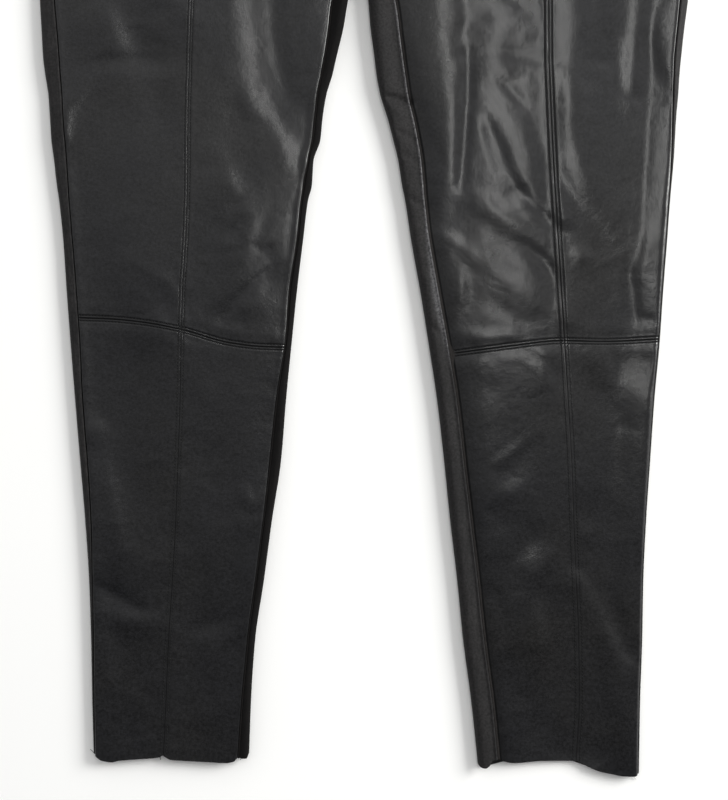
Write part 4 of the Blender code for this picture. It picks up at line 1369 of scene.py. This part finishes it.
def thread_end(name, rows, thick, material):
    """Loose thread ends: each row is a list of photo places with a height in mm."""
    all_points, rings, sides = [], 9, 6
    for row in rows:
        knots = np.array([(*from_px(px, py), z) for px, py, z in row])
        t = np.linspace(0, 1, rings)
        at = np.linspace(0, 1, len(knots))
        path = np.stack([Curve(at, knots[:, c])(t) for c in range(3)], -1)
        d = np.gradient(path, axis=0)
        d = d / np.linalg.norm(d, axis=-1, keepdims=True)
        s = np.cross(np.array([0, 0, 1.0]), d)
        s = s / np.maximum(np.linalg.norm(s, axis=-1, keepdims=True), 1e-9)
        n = np.cross(d, s)
        r = thick / 2 * np.where((t == 0) | (t == 1), 0.45, 1.0)[:, None, None]
        turn = np.arange(sides) / sides * 2 * np.pi
        all_points.append(path[:, None, :] + r * (
            np.cos(turn)[None, :, None] * s[:, None, :]
            + np.sin(turn)[None, :, None] * n[:, None, :]))
    points = np.stack(all_points).reshape(-1, 3)
    return tubes(name, points, len(rows), rings, sides, material)


# ---- the pieces ------------------------------------------------------------
made = {}
for side_name, leg in LEGS.items():
    knee = leg.knee_height
    for part in ("outer", "inner"):
        for level, low, high in (("shin", 0.0, knee), ("thigh", knee, BAND_LOW)):
            node = f"front_{level}_{part}_{side_name}"
            made[node] = front_panel(node, leg, part, low, high)
    made[f"back_leg_{side_name}"] = back_leg(f"back_leg_{side_name}", leg)
made["waistband_front"] = waistband_front("waistband_front")
made["waistband_back"] = waistband_back("waistband_back")

# threads: rows of topstitching, and the loose ends at the raw hems
topstitch = {side_name: stitches("topstitch_" + side_name, leg, leg.seed + 5)
             for side_name, leg in LEGS.items()}
BLACK_ENDS = (
    ((93.4, 753.0, 3.4), (91.2, 751.2, 1.6), (89.2, 750.4, 0.5)),
    ((159.2, 756.8, 4.2), (160.4, 758.8, 2.0), (159.6, 760.8, 0.4)),
    ((239.6, 757.4, 4.0), (240.6, 759.4, 1.8), (239.8, 761.2, 0.4)),
    ((496.2, 758.2, 4.0), (495.2, 760.4, 1.8), (496.8, 762.0, 0.4)),
    ((498.2, 758.4, 4.0), (499.0, 760.0, 2.2), (498.4, 761.4, 0.6)),
)
PALE_ENDS = (
    ((633.2, 774.6, 3.2), (634.4, 777.6, 1.0), (636.8, 780.8, 0.35)),
)
black_ends = thread_end("thread_ends_black", BLACK_ENDS, 0.42, THREAD_MAT)
pale_end = thread_end("thread_end_pale", PALE_ENDS, 0.42, PALE_THREAD_MAT)

# what each sheet lies on, and the separate pieces on it
for node, (piece, area, flat) in made.items():
    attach(piece, "root")
    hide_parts(node)
for piece in (*topstitch.values(), black_ends, pale_end):
    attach(piece, "root")


# ---- floor, light, camera --------------------------------------------------
def floor_material():
    made_, tree, shader, add, link = nodes_of("pale_floor")
    shader.inputs["Base Color"].default_value = (0.95, 0.95, 0.945, 1)
    shader.inputs["Roughness"].default_value = 0.9
    shader.inputs["Specular IOR Level"].default_value = 0.1
    return made_


bpy.ops.mesh.primitive_plane_add(size=12.0, location=(0, 0, -0.0004))
floor = bpy.context.object
floor.name = "floor"
floor.data.materials.append(floor_material())

# a pale room, brighter on the side past the waist
world = bpy.data.worlds.new("studio")
bpy.context.scene.world = world
world.use_nodes = True
tree = world.node_tree
background = tree.nodes["Background"]
background.inputs["Color"].default_value = (1.0, 1.0, 1.0, 1)
where = tree.nodes.new("ShaderNodeTexCoord")
parts = tree.nodes.new("ShaderNodeSeparateXYZ")
slope = tree.nodes.new("ShaderNodeMapRange")
slope.interpolation_type = "SMOOTHSTEP"
slope.inputs["From Min"].default_value = -0.52
slope.inputs["From Max"].default_value = 0.52
slope.inputs["To Min"].default_value = 0.03
slope.inputs["To Max"].default_value = 0.72
tree.links.new(where.outputs["Generated"], parts.inputs[0])
tree.links.new(parts.outputs["Y"], slope.inputs["Value"])
# and a brighter ring low round the horizon, which softens the ground shadows
ring = tree.nodes.new("ShaderNodeMapRange")
ring.interpolation_type = "SMOOTHSTEP"
ring.inputs["From Min"].default_value = 0.02
ring.inputs["From Max"].default_value = 0.78
ring.inputs["To Min"].default_value = 0.95
ring.inputs["To Max"].default_value = 0.0
both = tree.nodes.new("ShaderNodeMath")
both.operation = "ADD"
tree.links.new(parts.outputs["Z"], ring.inputs["Value"])
tree.links.new(slope.outputs["Result"], both.inputs[0])
tree.links.new(ring.outputs["Result"], both.inputs[1])
tree.links.new(both.outputs["Value"], background.inputs["Strength"])

CAMERA_X, CAMERA_Y = -0.0018, -0.1635


def softbox(name, place, turn, wide, tall, watts):
    lamp = bpy.data.lights.new(name, "AREA")
    lamp.shape = "RECTANGLE"
    lamp.size, lamp.size_y, lamp.energy = wide, tall, watts
    lamp.color = (1.0, 0.998, 0.975)
    body = bpy.data.objects.new(name, lamp)
    body.location = place
    body.rotation_euler = turn
    bpy.context.scene.collection.objects.link(body)
    return body


def facing(place, aim):
    return (Vector(aim) - Vector(place)).to_track_quat("-Z", "Y").to_euler()


softbox("softbox_high", (CAMERA_X + 0.32, CAMERA_Y + 0.93, 2.0), (0, 0, 0),
        0.04, 1.50, 7.0)
SIDE = (3.4, 1.3, 1.7)
softbox("softbox_right", SIDE, facing(SIDE, (0.0, -0.1, 0.0)), 2.2, 1.6, 205.0)

lens = bpy.data.cameras.new("camera")
lens.sensor_fit = "VERTICAL"
lens.sensor_height = 24.0
lens.lens = 39.2
camera = bpy.data.objects.new("camera", lens)
camera.location = (CAMERA_X, CAMERA_Y, 1.154)
camera.rotation_euler = (0, 0, 0)
bpy.context.scene.collection.objects.link(camera)
bpy.context.scene.camera = camera
bpy.context.scene.view_settings.view_transform = "Standard"
